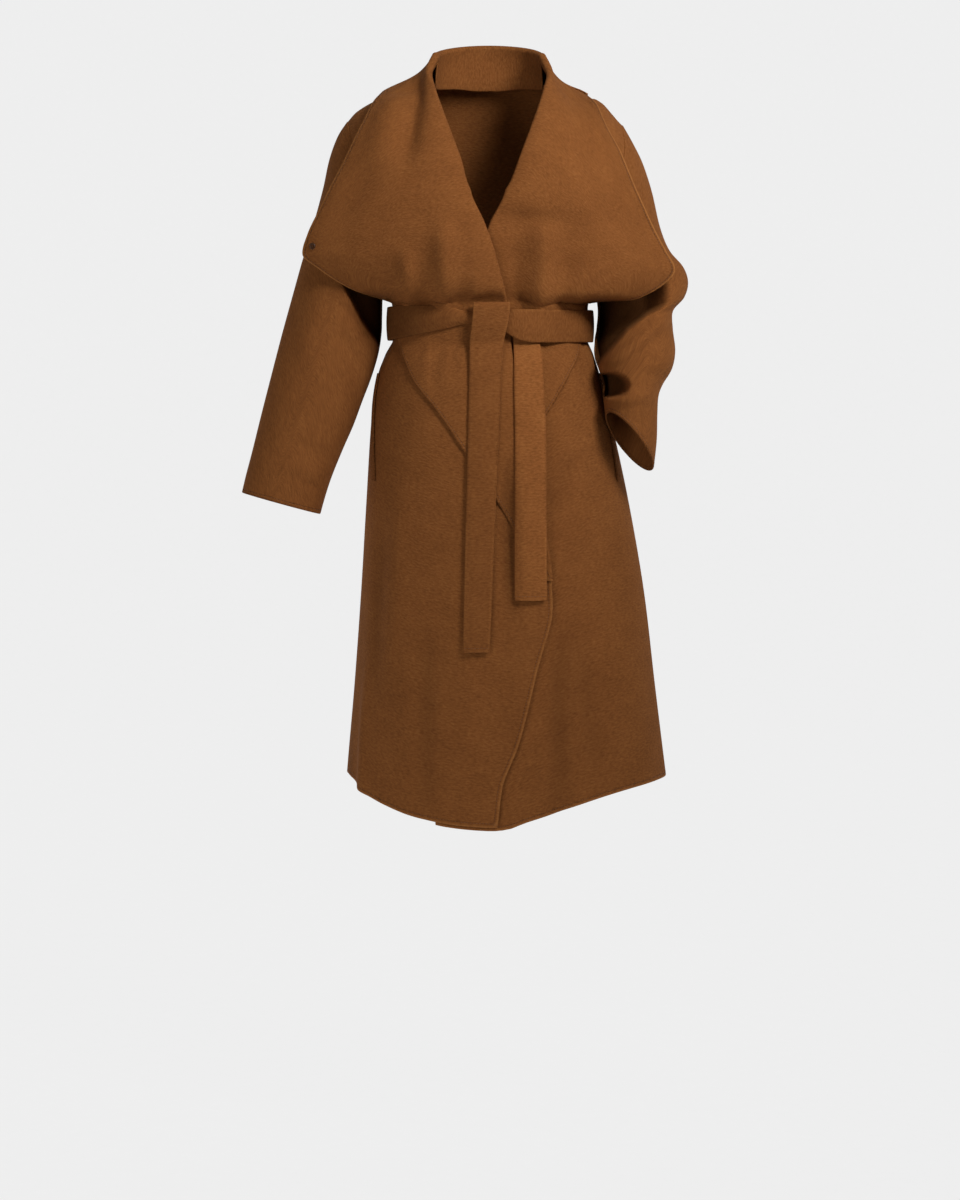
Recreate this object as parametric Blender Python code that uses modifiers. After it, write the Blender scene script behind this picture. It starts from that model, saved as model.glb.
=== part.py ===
"""A belted wool wrap coat in its worn form: hollow, with every sewn piece a wall of cloth.

Metres, +Z up. The origin is the base of the neck, midway between the shoulders. The front faces
-Y. The coat's own right side lies at -X and its own left side at +X. The right front wraps over
the left one. Each front is cut in one with its wide turned-out lapel.
"""

import math

import bpy
import numpy as np
from mathutils import Matrix

CLOTH = 0.0024  # thickness of the coat cloth
BELT_CLOTH = 0.0034  # the belt is sewn double
LAYER = 0.0037  # from the middle of one layer of cloth to the middle of the next
BELT_ROOM = 0.0002  # more than that under the belt, whose cloth is thicker
SEAM = 0.0007  # between the edges of two pieces that are sewn together

CHEST = -0.165  # height where the body's rings end and the shoulder dome starts
UNDERARM = -0.285
HEM = -1.013  # height of the hem at the side seams
HEM_DIP_FRONT = 0.054  # how much lower it hangs at the centre front
HEM_DIP_BACK = 0.022
UNDER_HEM = 0.006  # how far the left front's hem shows below the right one's
DIP_TOP = -0.780  # where the dip starts to show in the rows
BREAK = -0.716  # height where the lapel starts to turn out of the front edge
SHOULDER_Y = 0.005
NECK_HALF = 0.080
NECK_BACK = 0.070
RING_POWER = 2.25  # 2 is an ellipse, more is squarer
FRONT_DOME, BACK_DOME = 1.95, 3.0
ARMHOLE_TOP = (0.205, -0.058)  # reach from the centre, height
ARMHOLE_FOOT = (0.150, UNDERARM)
ROLL_RADIUS = 0.0045  # of the soft roll of the lapels
SAG_RIGHT, SAG_LEFT = 0.010, 0.014  # of a lapel between its roll and its edge on the shoulder
SAG_FORM = 6.75  # makes the sag 1 at its deepest, a third of the way from the roll
LEFT_IN, LEFT_DOWN = 0.013, 0.006  # how far the left shoulder is carried in and down
LEFT_KEPT = 0.8  # share of the way down that its middle is spared
RIGHT_OVER = (-0.155, -0.085)  # reach over which the right front rises onto the left one
LEFT_OVER = (-0.100, -0.040)  # the same for the belt at the coat's left, towards the middle
CHEST_LEVELS = (-0.08, 0.035)  # levels over which the right front comes down to the chest
CHEST_SHARE = 0.85  # share of its rise that it loses there; the rest goes over the shoulder
COLLAR_FALL = 0.88  # how far down the shoulder dome the collar falls at the back
COLLAR_CLEAR = 0.008  # between the collar's edge and the body
SEAM_COLUMNS = 20  # columns of a sleeve, and so of an armhole


def table(names, *rows):
    """The rows' values under their columns' names."""
    return dict(zip(names.split(), np.array(rows, float).T))


BODY = table(
    "z left right front back",
    (-1.130, 0.213, 0.276, 0.176, 0.168),
    (-1.013, 0.204, 0.261, 0.168, 0.160),
    (-0.880, 0.193, 0.244, 0.159, 0.152),
    (-0.750, 0.185, 0.228, 0.150, 0.145),
    (-0.614, 0.178, 0.204, 0.142, 0.138),
    (-0.475, 0.169, 0.173, 0.132, 0.128),
    (-0.425, 0.160, 0.160, 0.123, 0.117),
    (-0.398, 0.149, 0.151, 0.112, 0.103),
    (-0.377, 0.138, 0.143, 0.103, 0.092),
    (-0.325, 0.138, 0.143, 0.103, 0.092),
    (-0.305, 0.145, 0.147, 0.111, 0.098),
    (-0.285, 0.150, 0.150, 0.117, 0.104),
    (-0.220, 0.178, 0.178, 0.128, 0.112),
    (-0.165, 0.212, 0.212, 0.128, 0.115),
)
SHOULDER = table(
    "reach z",
    (0.000, 0.009),
    (0.040, 0.005),
    (0.080, -0.007),
    (0.115, -0.015),
    (0.152, -0.026),
    (0.190, -0.046),
    (0.205, -0.062),
    (0.220, -0.082),
)
# Soft folds of the skirt: where round the body (0 front, 90 the coat's left, 180 back), how wide,
# how far each stands out, and the height where it starts.
FOLDS = table(
    "angle width depth top",
    (-105, 15, 0.008, -0.45),
    (-74, 11, -0.004, -0.50),
    (-146, 16, 0.011, -0.42),
    (-125, 10, -0.006, -0.42),
    (-170, 13, -0.005, -0.42),
    (170, 15, 0.009, -0.42),
    (145, 12, -0.006, -0.42),
    (124, 15, 0.011, -0.42),
    (100, 11, -0.004, -0.50),
    (68, 12, -0.003, -0.55),
)
# A row for each rib of a lapel. Below 0 the level is the height over the chest line, above 0 the
# share of the way over the shoulder. Reaches are measured towards the coat's own side.
# rise: how far the neck's stand lifts the roll; soft: 1 where the roll is full, 0 where it is
# pressed flat; loose: 0 where the lapel lies on its front, 1 where it hangs free.
LAPEL_COLUMNS = "level roll rise soft edge_x edge_y edge_z loose"
LAPEL_RIGHT = table(
    LAPEL_COLUMNS,
    (-0.600, -0.088, 0, 0, -0.086, -0.14, 0, 0),
    (-0.551, -0.086, 0, 0, -0.080, -0.14, 0, 0),
    (-0.480, -0.076, 0, 0, -0.037, -0.14, 0, 0),
    (-0.441, -0.071, 0, 0, -0.013, -0.14, 0, 0),
    (-0.363, -0.058, 0, 0, 0.037, -0.14, 0, 0),
    (-0.311, -0.046, 0, 0, 0.071, -0.14, 0, 0),
    (-0.261, -0.034, 0, 0, 0.107, -0.14, 0, 0),
    (-0.210, -0.027, 0, 0, 0.124, -0.10, -0.375, 0),
    (-0.162, -0.022, 0, 0.3, 0.128, -0.04, -0.327, 0),
    (-0.140, -0.017, 0, 0.7, 0.196, -0.082, -0.303, 1),
    (-0.115, -0.010, 0, 1, 0.240, -0.086, -0.276, 1),
    (-0.085, -0.002, 0, 1, 0.266, -0.086, -0.253, 1),
    (-0.045, 0.012, 0, 1, 0.258, -0.090, -0.225, 1),
    (0.000, 0.031, 0, 1, 0.243, -0.092, -0.194, 1),
    (0.170, 0.045, 0, 1, 0.225, -0.092, -0.157, 1),
    (0.330, 0.059, 0, 1, 0.206, -0.088, -0.121, 1),
    (0.500, 0.071, 0.001, 1, 0.190, -0.078, -0.087, 1),
    (0.670, 0.080, 0.006, 1, 0.176, -0.062, -0.058, 1),
    (0.830, 0.083, 0.018, 1, 0.165, -0.036, -0.034, 1),
    (1.000, 0.073, 0.038, 1, 0.155, 0.005, -0.018, 1),
)
LAPEL_LEFT = table(
    LAPEL_COLUMNS,
    (-0.600, -0.088, 0, 0, -0.086, -0.14, 0, 0),
    (-0.551, -0.086, 0, 0, -0.080, -0.14, 0, 0),
    (-0.480, -0.077, 0, 0, -0.025, -0.14, 0, 0),
    (-0.441, -0.072, 0, 0, 0.001, -0.14, 0, 0),
    (-0.319, -0.055, 0, 0, 0.079, -0.14, 0, 0),
    (-0.261, -0.045, 0, 0, 0.112, -0.14, 0, 0),
    (-0.210, -0.036, 0, 0, 0.130, -0.10, -0.375, 0),
    (-0.162, -0.030, 0, 0, 0.131, -0.04, -0.329, 0),
    (-0.140, -0.025, 0, 0, 0.210, -0.086, -0.317, 1),
    (-0.108, -0.018, 0, 0, 0.265, -0.088, -0.277, 1),
    (-0.075, -0.008, 0, 0, 0.252, -0.090, -0.250, 1),
    (-0.045, 0.005, 0, 0.3, 0.238, -0.090, -0.224, 1),
    (0.000, 0.028, 0, 1, 0.222, -0.092, -0.190, 1),
    (0.170, 0.047, 0, 1, 0.205, -0.092, -0.153, 1),
    (0.330, 0.061, 0, 1, 0.191, -0.088, -0.118, 1),
    (0.500, 0.073, 0.001, 1, 0.178, -0.078, -0.085, 1),
    (0.670, 0.081, 0.006, 1, 0.168, -0.062, -0.060, 1),
    (0.830, 0.084, 0.018, 1, 0.156, -0.036, -0.036, 1),
    (1.000, 0.073, 0.038, 1, 0.143, 0.005, -0.018, 1),
)
# Below the break, the reach of each front's edge past the centre.
EDGE_RIGHT = table(
    "z reach",
    (-1.013, -0.011),
    (-0.963, -0.018),
    (-0.915, -0.042),
    (-0.840, -0.066),
    (-0.755, -0.088),
    (-0.716, -0.086),
)
EDGE_LEFT = table(
    "z reach",
    (-1.013, -0.076),
    (-0.900, -0.081),
    (-0.755, -0.088),
    (-0.716, -0.086),
)
# Each section of a sleeve: the outer and inner ends of the ring seen from the front, half of its
# depth, the middle of its depth, and how far its back hangs below its front.
SLEEVE_COLUMNS = "outer_x outer_z inner_x inner_z depth middle drop"
SLEEVE_RIGHT = table(
    SLEEVE_COLUMNS,
    (0.219, -0.083, 0.1555, -0.303, 0.080, 0.001, 0),
    (0.231, -0.116, 0.1565, -0.321, 0.079, 0.001, 0),
    (0.240, -0.157, 0.157, -0.343, 0.077, 0.000, 0),
    (0.254, -0.208, 0.158, -0.368, 0.075, -0.001, 0),
    (0.270, -0.260, 0.163, -0.398, 0.073, -0.003, 0),
    (0.285, -0.313, 0.173, -0.431, 0.071, -0.005, 0),
    (0.300, -0.367, 0.186, -0.465, 0.069, -0.008, 0),
    (0.315, -0.424, 0.199, -0.500, 0.067, -0.011, 0),
    (0.330, -0.482, 0.214, -0.534, 0.065, -0.014, 0),
    (0.344, -0.538, 0.230, -0.573, 0.063, -0.017, 0.001),
    (0.353, -0.572, 0.240, -0.603, 0.062, -0.019, 0.002),
    (0.359, -0.597, 0.247, -0.628, 0.061, -0.020, 0.003),
)
SLEEVE_LEFT = table(
    SLEEVE_COLUMNS,
    (0.211, -0.085, 0.1555, -0.301, 0.080, 0.001, 0),
    (0.222, -0.119, 0.158, -0.316, 0.079, 0.002, 0),
    (0.236, -0.162, 0.160, -0.331, 0.078, 0.004, 0),
    (0.248, -0.212, 0.160, -0.344, 0.077, 0.007, 0),
    (0.262, -0.246, 0.159, -0.354, 0.078, 0.008, 0),
    (0.282, -0.270, 0.158, -0.363, 0.079, 0.006, 0),
    (0.289, -0.292, 0.156, -0.372, 0.080, 0.000, 0.002),
    (0.283, -0.314, 0.155, -0.382, 0.078, -0.010, 0.004),
    (0.266, -0.334, 0.154, -0.392, 0.073, -0.022, 0.006),
    (0.265, -0.360, 0.155, -0.403, 0.070, -0.034, 0.008),
    (0.268, -0.392, 0.159, -0.415, 0.068, -0.046, 0.010),
    (0.263, -0.417, 0.163, -0.428, 0.064, -0.056, 0.012),
    (0.250, -0.438, 0.166, -0.441, 0.060, -0.064, 0.014),
    (0.243, -0.456, 0.165, -0.452, 0.056, -0.070, 0.016),
    (0.241, -0.482, 0.166, -0.462, 0.052, -0.076, 0.018),
    (0.240, -0.520, 0.167, -0.472, 0.049, -0.081, 0.020),
    (0.236, -0.557, 0.168, -0.484, 0.046, -0.085, 0.022),
)

ARMHOLE_CLEAR = (0.0011, 0.0009, 0.0028)  # from a panel's edge to its sleeve; these add up
SLEEVE_RAISED, FOOT_RAISED = 0.0005, 0.001  # of the armhole's ring at its top and its foot
ARMHOLE_KEPT = (0.7, 0.4, 0.15)  # share of the armhole's depth that the first rings keep

FRONT_HEIGHTS = (
    -1.013, -0.950, -0.890, -0.830, -0.770, -0.716, -0.660, -0.605, -0.550, -0.500, -0.460,
    -0.425, -0.398, -0.377, -0.352, -0.327, -0.305,
)
ARM_HEIGHTS = (-0.285, -0.2793, -0.263, -0.2375, -0.2055)
DOME_SHARES = (0, 1 / 6, 1 / 3, 1 / 2, 2 / 3, 5 / 6, 1)

PANEL_COLUMNS, TURN_STEPS, LAPEL_STEPS = 11, 3, 9
BACK_COLUMNS = 28
STAND_RISE = 0.02  # rise of the neck's stand that turns a front's end upright
STAND_COLUMNS = 3  # last columns of a front, which bend into that stand
ROLL_TURN = 152.0  # degrees the soft roll of a lapel turns; a pressed one turns 180
COLLAR_TURN = 142.0
COLLAR_INSET = 0.003  # between the neckline's edge and the middle of the collar's stand
COLLAR_SEAM = 0.0012  # from a lapel's last row to the collar's end
COLLAR_SUNK = 0.003  # how far the stand's foot lies below the neckline's edge
STAND_LEAN = (0.97, 0.25)  # upward and inward parts of the stand's direction at its top
LAPEL_RUNS = (0.6, 0.8)  # how straight a lapel leaves its roll and meets its edge
COLLAR_RUN = 0.9
COLLAR_IN = 0.004  # how much nearer the neck the stand's top lies than the neckline
COLLAR_HIGHER = 0.018  # how much higher the collar stands behind than beside the neck
COLLAR_HANG = 0.5  # how steeply its edge hangs behind
EDGE_BACK = (0, 0.45, -0.12)  # how a lapel's edge curls back towards the body

BELT_MIDDLE = -0.3525
BELT_START, BELT_STOP = 6.0, 354.0  # degrees round the body, from the knot and back to it
BELT_SIDES = (55, 85)  # degrees from the middle of the back where it passes to the front's lift
BELT_PASSED = 0.0055  # more room where the belt passes over the short end
# The belt's edges across the front, and how far it bows out between them.
BELT_FRONT = table(
    "x top foot bow",
    (-0.141, -0.3300, -0.3755, 0.0012),
    (-0.109, -0.3275, -0.3695, 0.0018),
    (-0.064, -0.3290, -0.3600, 0.0032),
    (-0.021, -0.3375, -0.3510, 0.0042),
    (0.022, -0.3350, -0.3640, 0.0024),
    (0.040, -0.3340, -0.3740, 0.0020),
    (0.060, -0.3340, -0.3780, 0.0014),
    (0.145, -0.3345, -0.3780, 0.0012),
)
KNOT_X, KNOT_Z = 0.0017, -0.346
KNOT_HALF, KNOT_HEIGHT, KNOT_DEPTH = 0.0174, 0.0148, 0.0077  # half sizes of the knot's core
KNOT_LIFT = 0.0057  # of its middle, from four layers over the body
KNOT_ENDS = 0.93  # how far along its rounding the knot's core is cut off; 1 comes to a point
END_BOW = 0.0015  # how far the hanging ends bow out between their edges
ROWS_CLOSER = 1.4  # how much closer the ends' rows lie near the knot; 1 is evenly spaced
END_FOLD, END_FOLD_RISE = 0.0065, 0.0085  # depth and height of the long end's fold over the knot
END_FOLD_TURN = 165.0

# Each row of an end gives its height, its edges, and how far it lies off the coat's four layers.
TAIL_LONG = table(
    "z left right lift",
    (-0.816, -0.0325, 0.0000, 0),
    (-0.735, -0.0315, 0.0030, 0),
    (-0.655, -0.0300, 0.0060, 0),
    (-0.590, -0.0287, 0.0088, 0),
    (-0.520, -0.0275, 0.0118, 0),
    (-0.450, -0.0262, 0.0145, 0),
    (-0.408, -0.0252, 0.0160, 0.003),
    (-0.380, -0.0240, 0.0180, 0.009),
    (-0.350, -0.0205, 0.0235, 0.0155),
    (-0.332, -0.0190, 0.0258, 0.0160),
)
TAIL_SHORT = table(
    "z left right lift",
    (-0.743, 0.0375, 0.0780, 0),
    (-0.630, 0.0375, 0.0770, 0),
    (-0.500, 0.0365, 0.0750, 0),
    (-0.430, 0.0350, 0.0715, 0),
    (-0.395, 0.0350, 0.0690, -0.0015),
    (-0.378, 0.0350, 0.0668, -0.0045),
    (-0.362, 0.0350, 0.0650, -0.0045),
)

WELT_TOP, WELT_FOOT = -0.425, -0.578
WELT_ANGLE = 78.0  # degrees round the body at the welt's top
WELT_SLANT = 11.0  # how much nearer the front its foot lies
WELT_WIDTH = 4.5
WELT_LIFT = LAYER - 0.0008

BUTTON_LEVEL = -0.0725  # row of the right lapel that holds the snap
BUTTON_SHARE = 0.35  # from that row's last column but one to its edge
# The snap's outline: reach from its axis, height over the cloth.
SNAP = table(
    "reach height",
    (0.0000, 0.0013),
    (0.0030, 0.0015),
    (0.0044, 0.0019),
    (0.0052, 0.0012),
    (0.0052, 0.0000),
    (0.0000, 0.0000),
)


def smooth(at, keys, values):
    """A monotone cubic through the values at the keys, flat where they turn back."""
    step = np.diff(keys)
    rate = np.diff(values) / step
    both = rate[:-1] * rate[1:]
    slope = np.empty(len(keys))
    slope[0], slope[-1] = rate[0], rate[-1]
    total = np.where(both > 0, rate[:-1] + rate[1:], 1)
    slope[1:-1] = np.where(both > 0, 2 * both / total, 0)
    at = np.clip(at, keys[0], keys[-1])
    i = np.clip(np.searchsorted(keys, at) - 1, 0, len(step) - 1)
    t = (at - keys[i]) / step[i]
    return (
        values[i] * (1 + 2 * t) * (1 - t) ** 2
        + values[i + 1] * t * t * (3 - 2 * t)
        + step[i] * t * (1 - t) * (slope[i] * (1 - t) - slope[i + 1] * t)
    )


def ease(value, low, high):
    """0 below low, 1 above high, and a smooth step between."""
    t = np.clip((value - low) / (high - low), 0, 1)
    return t * t * (3 - 2 * t)


def unit(vectors):
    return vectors / np.linalg.norm(vectors, axis=-1, keepdims=True)


def stack(*coordinates):
    return np.stack(np.broadcast_arrays(*coordinates), axis=-1)


def hermite(start, start_run, end, end_run, t):
    """The cubic from start to end that leaves and arrives with these runs."""
    return (
        start * ((1 + 2 * t) * (1 - t) ** 2)
        + start_run * (t * (1 - t) ** 2)
        + end * (t * t * (3 - 2 * t))
        - end_run * (t * t * (1 - t))
    )


def ring(z):
    """Centre, half width, front depth and back depth of the body's ring at a height."""
    left, right, front, back = (
        smooth(z, BODY["z"], BODY[name]) for name in ("left", "right", "front", "back")
    )
    return (right - left) / 2, (right + left) / 2, front, back


def shoulder_height(x):
    return smooth(np.abs(x), SHOULDER["reach"], SHOULDER["z"])


def fold_depth(angle, z):
    """How far the skirt's folds stand out at this angle, in degrees, and height."""
    total = np.zeros(np.broadcast(angle, z).shape)
    for place, width, depth, top in zip(*FOLDS.values()):
        away = (angle - place + 180) % 360 - 180
        total += depth * np.exp(-((away / width) ** 2)) * ease(-z, -top, -HEM)
    return total


def body_height(level):
    return CHEST + np.minimum(level, 0)


def hem_dip(u, v, across, side):
    """How far the hem hangs below its side seams: rounded on the right front, straight on the left."""
    front = np.where(across < 0, v**1.7, (1 - u**2) * (1 - u) ** 1.1)
    return np.where(side < 0, HEM_DIP_FRONT * front, HEM_DIP_BACK * v**2)


def on_body(x, level, side, lift=0.0):
    """The point of the body at a reach and level, on its front (side -1) or back (1).

    Up to the chest it lies on a ring, whose depth is a superellipse of the reach. Above, it
    follows a quarter turn from that depth to the shoulder line. The skirt's folds and the hem's
    dip come last. Lift moves it out along the ring's normal, which leans up over the shoulder.
    """
    z = body_height(level)
    centre, half, front, back = ring(z)
    depth = np.where(side < 0, front, back)
    u = np.clip(np.abs(x - centre) / half, 0, 1)
    v = (1 - u**RING_POWER) ** (1 / RING_POWER)
    dome = np.where(side < 0, FRONT_DOME, BACK_DOME)
    turn = np.clip(level, 0, 1) * math.pi / 2
    lean = np.abs(np.cos(turn)) ** (2 / dome)
    climb = np.sin(turn) ** (2 / dome)
    y = side * depth * v * lean + SHOULDER_Y * (1 - lean) * (level > 0)
    angle = np.degrees(np.arctan2((x - centre) / half, -side * v))
    dip = hem_dip(u, v, x - centre, side) * ease(-z, -DIP_TOP, -HEM)
    out = unit(
        stack(
            np.sign(x - centre) * u ** (RING_POWER - 1) / half * np.cos(turn),
            side * (v + 1e-6) ** (RING_POWER - 1) / depth * np.cos(turn),
            np.sin(turn) / 0.1,
        )
    )
    place = stack(x, y, z + (shoulder_height(x) - CHEST) * climb - dip)
    return place + out * (lift + fold_depth(angle, z))[..., None]


def outward(x, level, side):
    return unit(on_body(x, level, side, 0.01) - on_body(x, level, side))


def depth_at(x, z, side):
    """The body's y at a reach and height, on its front or back."""
    centre, half, front, back = ring(np.minimum(z, CHEST))
    depth = np.where(side < 0, front, back)
    u = np.clip(np.abs(x - centre) / half, 0, 1)
    v = (1 - u**RING_POWER) ** (1 / RING_POWER)
    dome = np.where(side < 0, FRONT_DOME, BACK_DOME)
    climb = np.clip((z - CHEST) / (shoulder_height(x) - CHEST), 0, 1)
    lean = (1 - climb**dome) ** (1 / dome)
    return side * depth * v * lean + SHOULDER_Y * (1 - lean) * (z > CHEST)


def armhole_reach(z):
    (top_x, top_z), (foot_x, foot_z) = ARMHOLE_TOP, ARMHOLE_FOOT
    return foot_x + (z - foot_z) * (top_x - foot_x) / (top_z - foot_z)


def outer_reach(level, hand, side):
    """Reach of a panel's outer edge: the side seam, then the armhole."""
    z = body_height(level)
    centre, half, _, _ = ring(z)
    seam = half + hand * centre
    reach = armhole_reach(z)
    dome = FRONT_DOME if side < 0 else BACK_DOME
    climb = np.sin(np.clip(level, 0, 1) * math.pi / 2) ** (2 / dome)
    for _ in range(20):
        reach = armhole_reach(z + (shoulder_height(reach) - CHEST) * climb)
    return np.where(z <= UNDERARM + 1e-6, seam, reach)


def between(outer, inner, level, share):
    """x from outer to inner, spaced evenly by angle round the body's ring."""
    centre, half, _, _ = ring(body_height(level))

    def angle(x):
        u = np.clip((x - centre) / half, -1, 1)
        return np.arcsin(np.sign(u) * np.abs(u) ** (RING_POWER / 2))

    turned = angle(outer) + (angle(inner) - angle(outer)) * share
    return centre + half * np.sign(turned) * np.abs(np.sin(turned)) ** (2 / RING_POWER)


def panel_lift(hand, x, level):
    """How far a front lies off the body: the right one passes over the left one's two layers."""
    if hand > 0:
        return np.zeros(np.broadcast(x, level).shape)
    over = ease(-level, *CHEST_LEVELS) * CHEST_SHARE + (1 - CHEST_SHARE) * ease(-level, -1, 0)
    return 2 * LAYER * ease(x, *RIGHT_OVER) * over


def settled(points):
    """The points with the coat's left shoulder carried a little nearer the neck and lower."""
    x, z = points[..., 0], points[..., 2]
    near = LEFT_IN * ease(x, 0.140, 0.205) * ease(z, -0.110, -0.050)
    spared = LEFT_KEPT * ease(x, 0.138, 0.158) * (1 - ease(x, 0.168, 0.196))
    down = LEFT_DOWN * ease(x, 0.060, 0.130) * (1 - spared) * ease(z, -0.150, -0.030)
    return points - stack(near, 0 * x, down)


def seam_room(level):
    """Half of the gap along the side seam, wider at its top, where the armhole starts."""
    above = body_height(level) - UNDERARM
    return np.where(above > 1e-6, 0, np.where(above > -1e-6, 2 * SEAM, SEAM / 2))


def front_grid(hand, levels, panel_columns, turn_steps, lapel_columns):
    """Points of one front: a row for each level, from its outer edge over the roll to the lapel.

    hand is -1 for the coat's right front and 1 for its left. A row has the panel's columns, the
    steps of the roll, and the lapel's columns.
    """
    rows = LAPEL_RIGHT if hand < 0 else LAPEL_LEFT
    level = np.asarray(levels, float)[:, None]
    read = {name: smooth(level, rows["level"], rows[name]) for name in rows}
    roll = hand * read["roll"]
    edges = EDGE_RIGHT if hand < 0 else EDGE_LEFT
    low = body_height(level) < BREAK - 1e-6
    roll = np.where(low, hand * smooth(body_height(level), edges["z"], edges["reach"]), roll)

    # The panel lies on the body, and its last columns rise into the stand of the neck.
    outer = hand * outer_reach(level, hand, -1)
    x = between(outer, roll, level, np.linspace(0, 1, panel_columns + 1)[None])
    x[:, 0] = outer[:, 0]
    panel = on_body(x, level, -1.0, panel_lift(hand, x, level))
    end = panel[:, -1]
    end = end + stack(0 * roll[:, 0], 0 * roll[:, 0], read["rise"][:, 0])
    lean = ease(read["rise"][:, 0], 0, STAND_RISE)[:, None]
    inward = unit(panel[:, -1] - panel[:, -2])
    out = outward(roll[:, 0], level[:, 0], -1.0)
    rise, inset = STAND_LEAN
    run = unit(inward * (1 - lean) + np.array([-inset * hand, 0, rise]) * lean)
    out = out * (1 - lean) + np.array([rise * hand, 0, inset]) * lean
    out = unit(out - (out * run).sum(-1, keepdims=True) * run)
    t = np.linspace(0, 1, STAND_COLUMNS + 1)[None, :, None]
    start = panel[:, -1 - STAND_COLUMNS]
    start_run = unit(start - panel[:, -2 - STAND_COLUMNS])
    length = np.linalg.norm(end - start, axis=-1)[:, None, None]
    curve = hermite(
        start[:, None], start_run[:, None] * length, end[:, None], run[:, None] * length, t
    )
    panel[:, -1 - STAND_COLUMNS :] += (curve - panel[:, -1 - STAND_COLUMNS :]) * lean[:, None]
    panel[:, 0, 1] -= seam_room(level[:, 0])

    # The roll is an arc from the panel's end.
    soft = read["soft"]
    radius = LAYER / 2 + (ROLL_RADIUS - LAYER / 2) * soft
    full_turn = np.radians(180 + (ROLL_TURN - 180) * soft)
    angle = full_turn * (np.arange(1, turn_steps + 1) / turn_steps)[None]
    turn = (
        end[:, None]
        + out[:, None] * (radius * (1 - np.cos(angle)))[..., None]
        + run[:, None] * (radius * np.sin(angle))[..., None]
    )
    leave = run * np.cos(angle[:, -1:]) + out * np.sin(angle[:, -1:])

    # The lapel lies on its front below the belt's top, and hangs free to its edge above.
    share = np.linspace(0, 1, lapel_columns + 1)[None, 1:]
    edge_x = hand * read["edge_x"]
    x = roll + (edge_x - roll) * share
    lying = on_body(x, level, -1.0, panel_lift(hand, x, level) + LAYER)
    edge = stack(edge_x[:, 0], read["edge_y"][:, 0], read["edge_z"][:, 0])
    span = np.linalg.norm(edge - turn[:, -1], axis=-1)[:, None]
    back = np.array(EDGE_BACK) * (1 - np.clip(level, 0, 1) ** 2)
    arrive = unit(unit(edge - turn[:, -1]) + back)
    leaving, arriving = LAPEL_RUNS
    free = hermite(
        turn[:, -1][:, None],
        (leave * span * leaving)[:, None],
        edge[:, None],
        (arrive * span * arriving)[:, None],
        share[..., None],
    )
    sag = (SAG_RIGHT if hand < 0 else SAG_LEFT) * ease(level, 0.45, 0.95)
    free[..., 2] -= SAG_FORM * share * (1 - share) ** 2 * sag
    opened = ease(share, 0.14, 0.6)
    loose = read["loose"] * (opened + (1 - opened) * ease(soft, 0.2, 0.8))
    lapel = lying + (free - lying) * loose[..., None]
    if hand > 0:
        under = ease(-panel[..., 0], -0.060, 0.0) * ease(-body_height(level), -DIP_TOP, -HEM)
        panel[..., 2] -= UNDER_HEM * under
    grid = np.concatenate([panel, turn, lapel], axis=1)
    grid[level[:, 0] > 1 - 1e-6, :, 1] -= SEAM / 2
    return settled(grid)


def front_levels():
    heights = np.array(FRONT_HEIGHTS + ARM_HEIGHTS)
    return np.concatenate([heights - CHEST, DOME_SHARES])


def neckline(x):
    """Level over the shoulder where the back stops, on an oval behind the neck, at a reach."""
    _, half, _, back = ring(CHEST)
    behind = NECK_BACK * np.sqrt(np.clip(1 - (x / NECK_HALF) ** 2, 0, 1))
    depth = back * (1 - np.clip(np.abs(x) / half, 0, 1) ** RING_POWER) ** (1 / RING_POWER)
    return np.arccos(np.clip(behind / depth, 0, 1) ** (BACK_DOME / 2)) / (math.pi / 2)


def back_grid(columns):
    """Points of the back: rows from the hem to the shoulders and the neckline between them."""
    levels = front_levels()
    level = levels[:, None]
    left = outer_reach(level, 1, 1)
    right = outer_reach(level, -1, 1)
    share = np.linspace(0, 1, columns + 1)[None]
    x = between(-right, left, level, share)
    x[:, :1], x[:, -1:] = -right, left
    # Above the chest a column keeps its share of the reach, and stops at the neckline.
    top_reach = left[-1, 0]
    across = 2 * np.abs(2 * share - 1)
    neck = NECK_HALF * np.sin(np.minimum(across, 1) * math.pi / 2)
    at_top = neck + (top_reach - NECK_HALF) * np.maximum(across - 1, 0)
    at_top = np.sign(share - 0.5) * at_top
    even = at_top * left / top_reach
    x = np.where(level > 0, even + (x - even) * ease(-level, -0.6, 0), x)
    held = np.where(level > 0, level * neckline(at_top), level)
    grid = on_body(x, held, 1.0)
    grid[:, 0, 1] += seam_room(levels)
    grid[:, -1, 1] += seam_room(levels)
    grid[-1, :, 1] += SEAM / 2
    return settled(grid)


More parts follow.
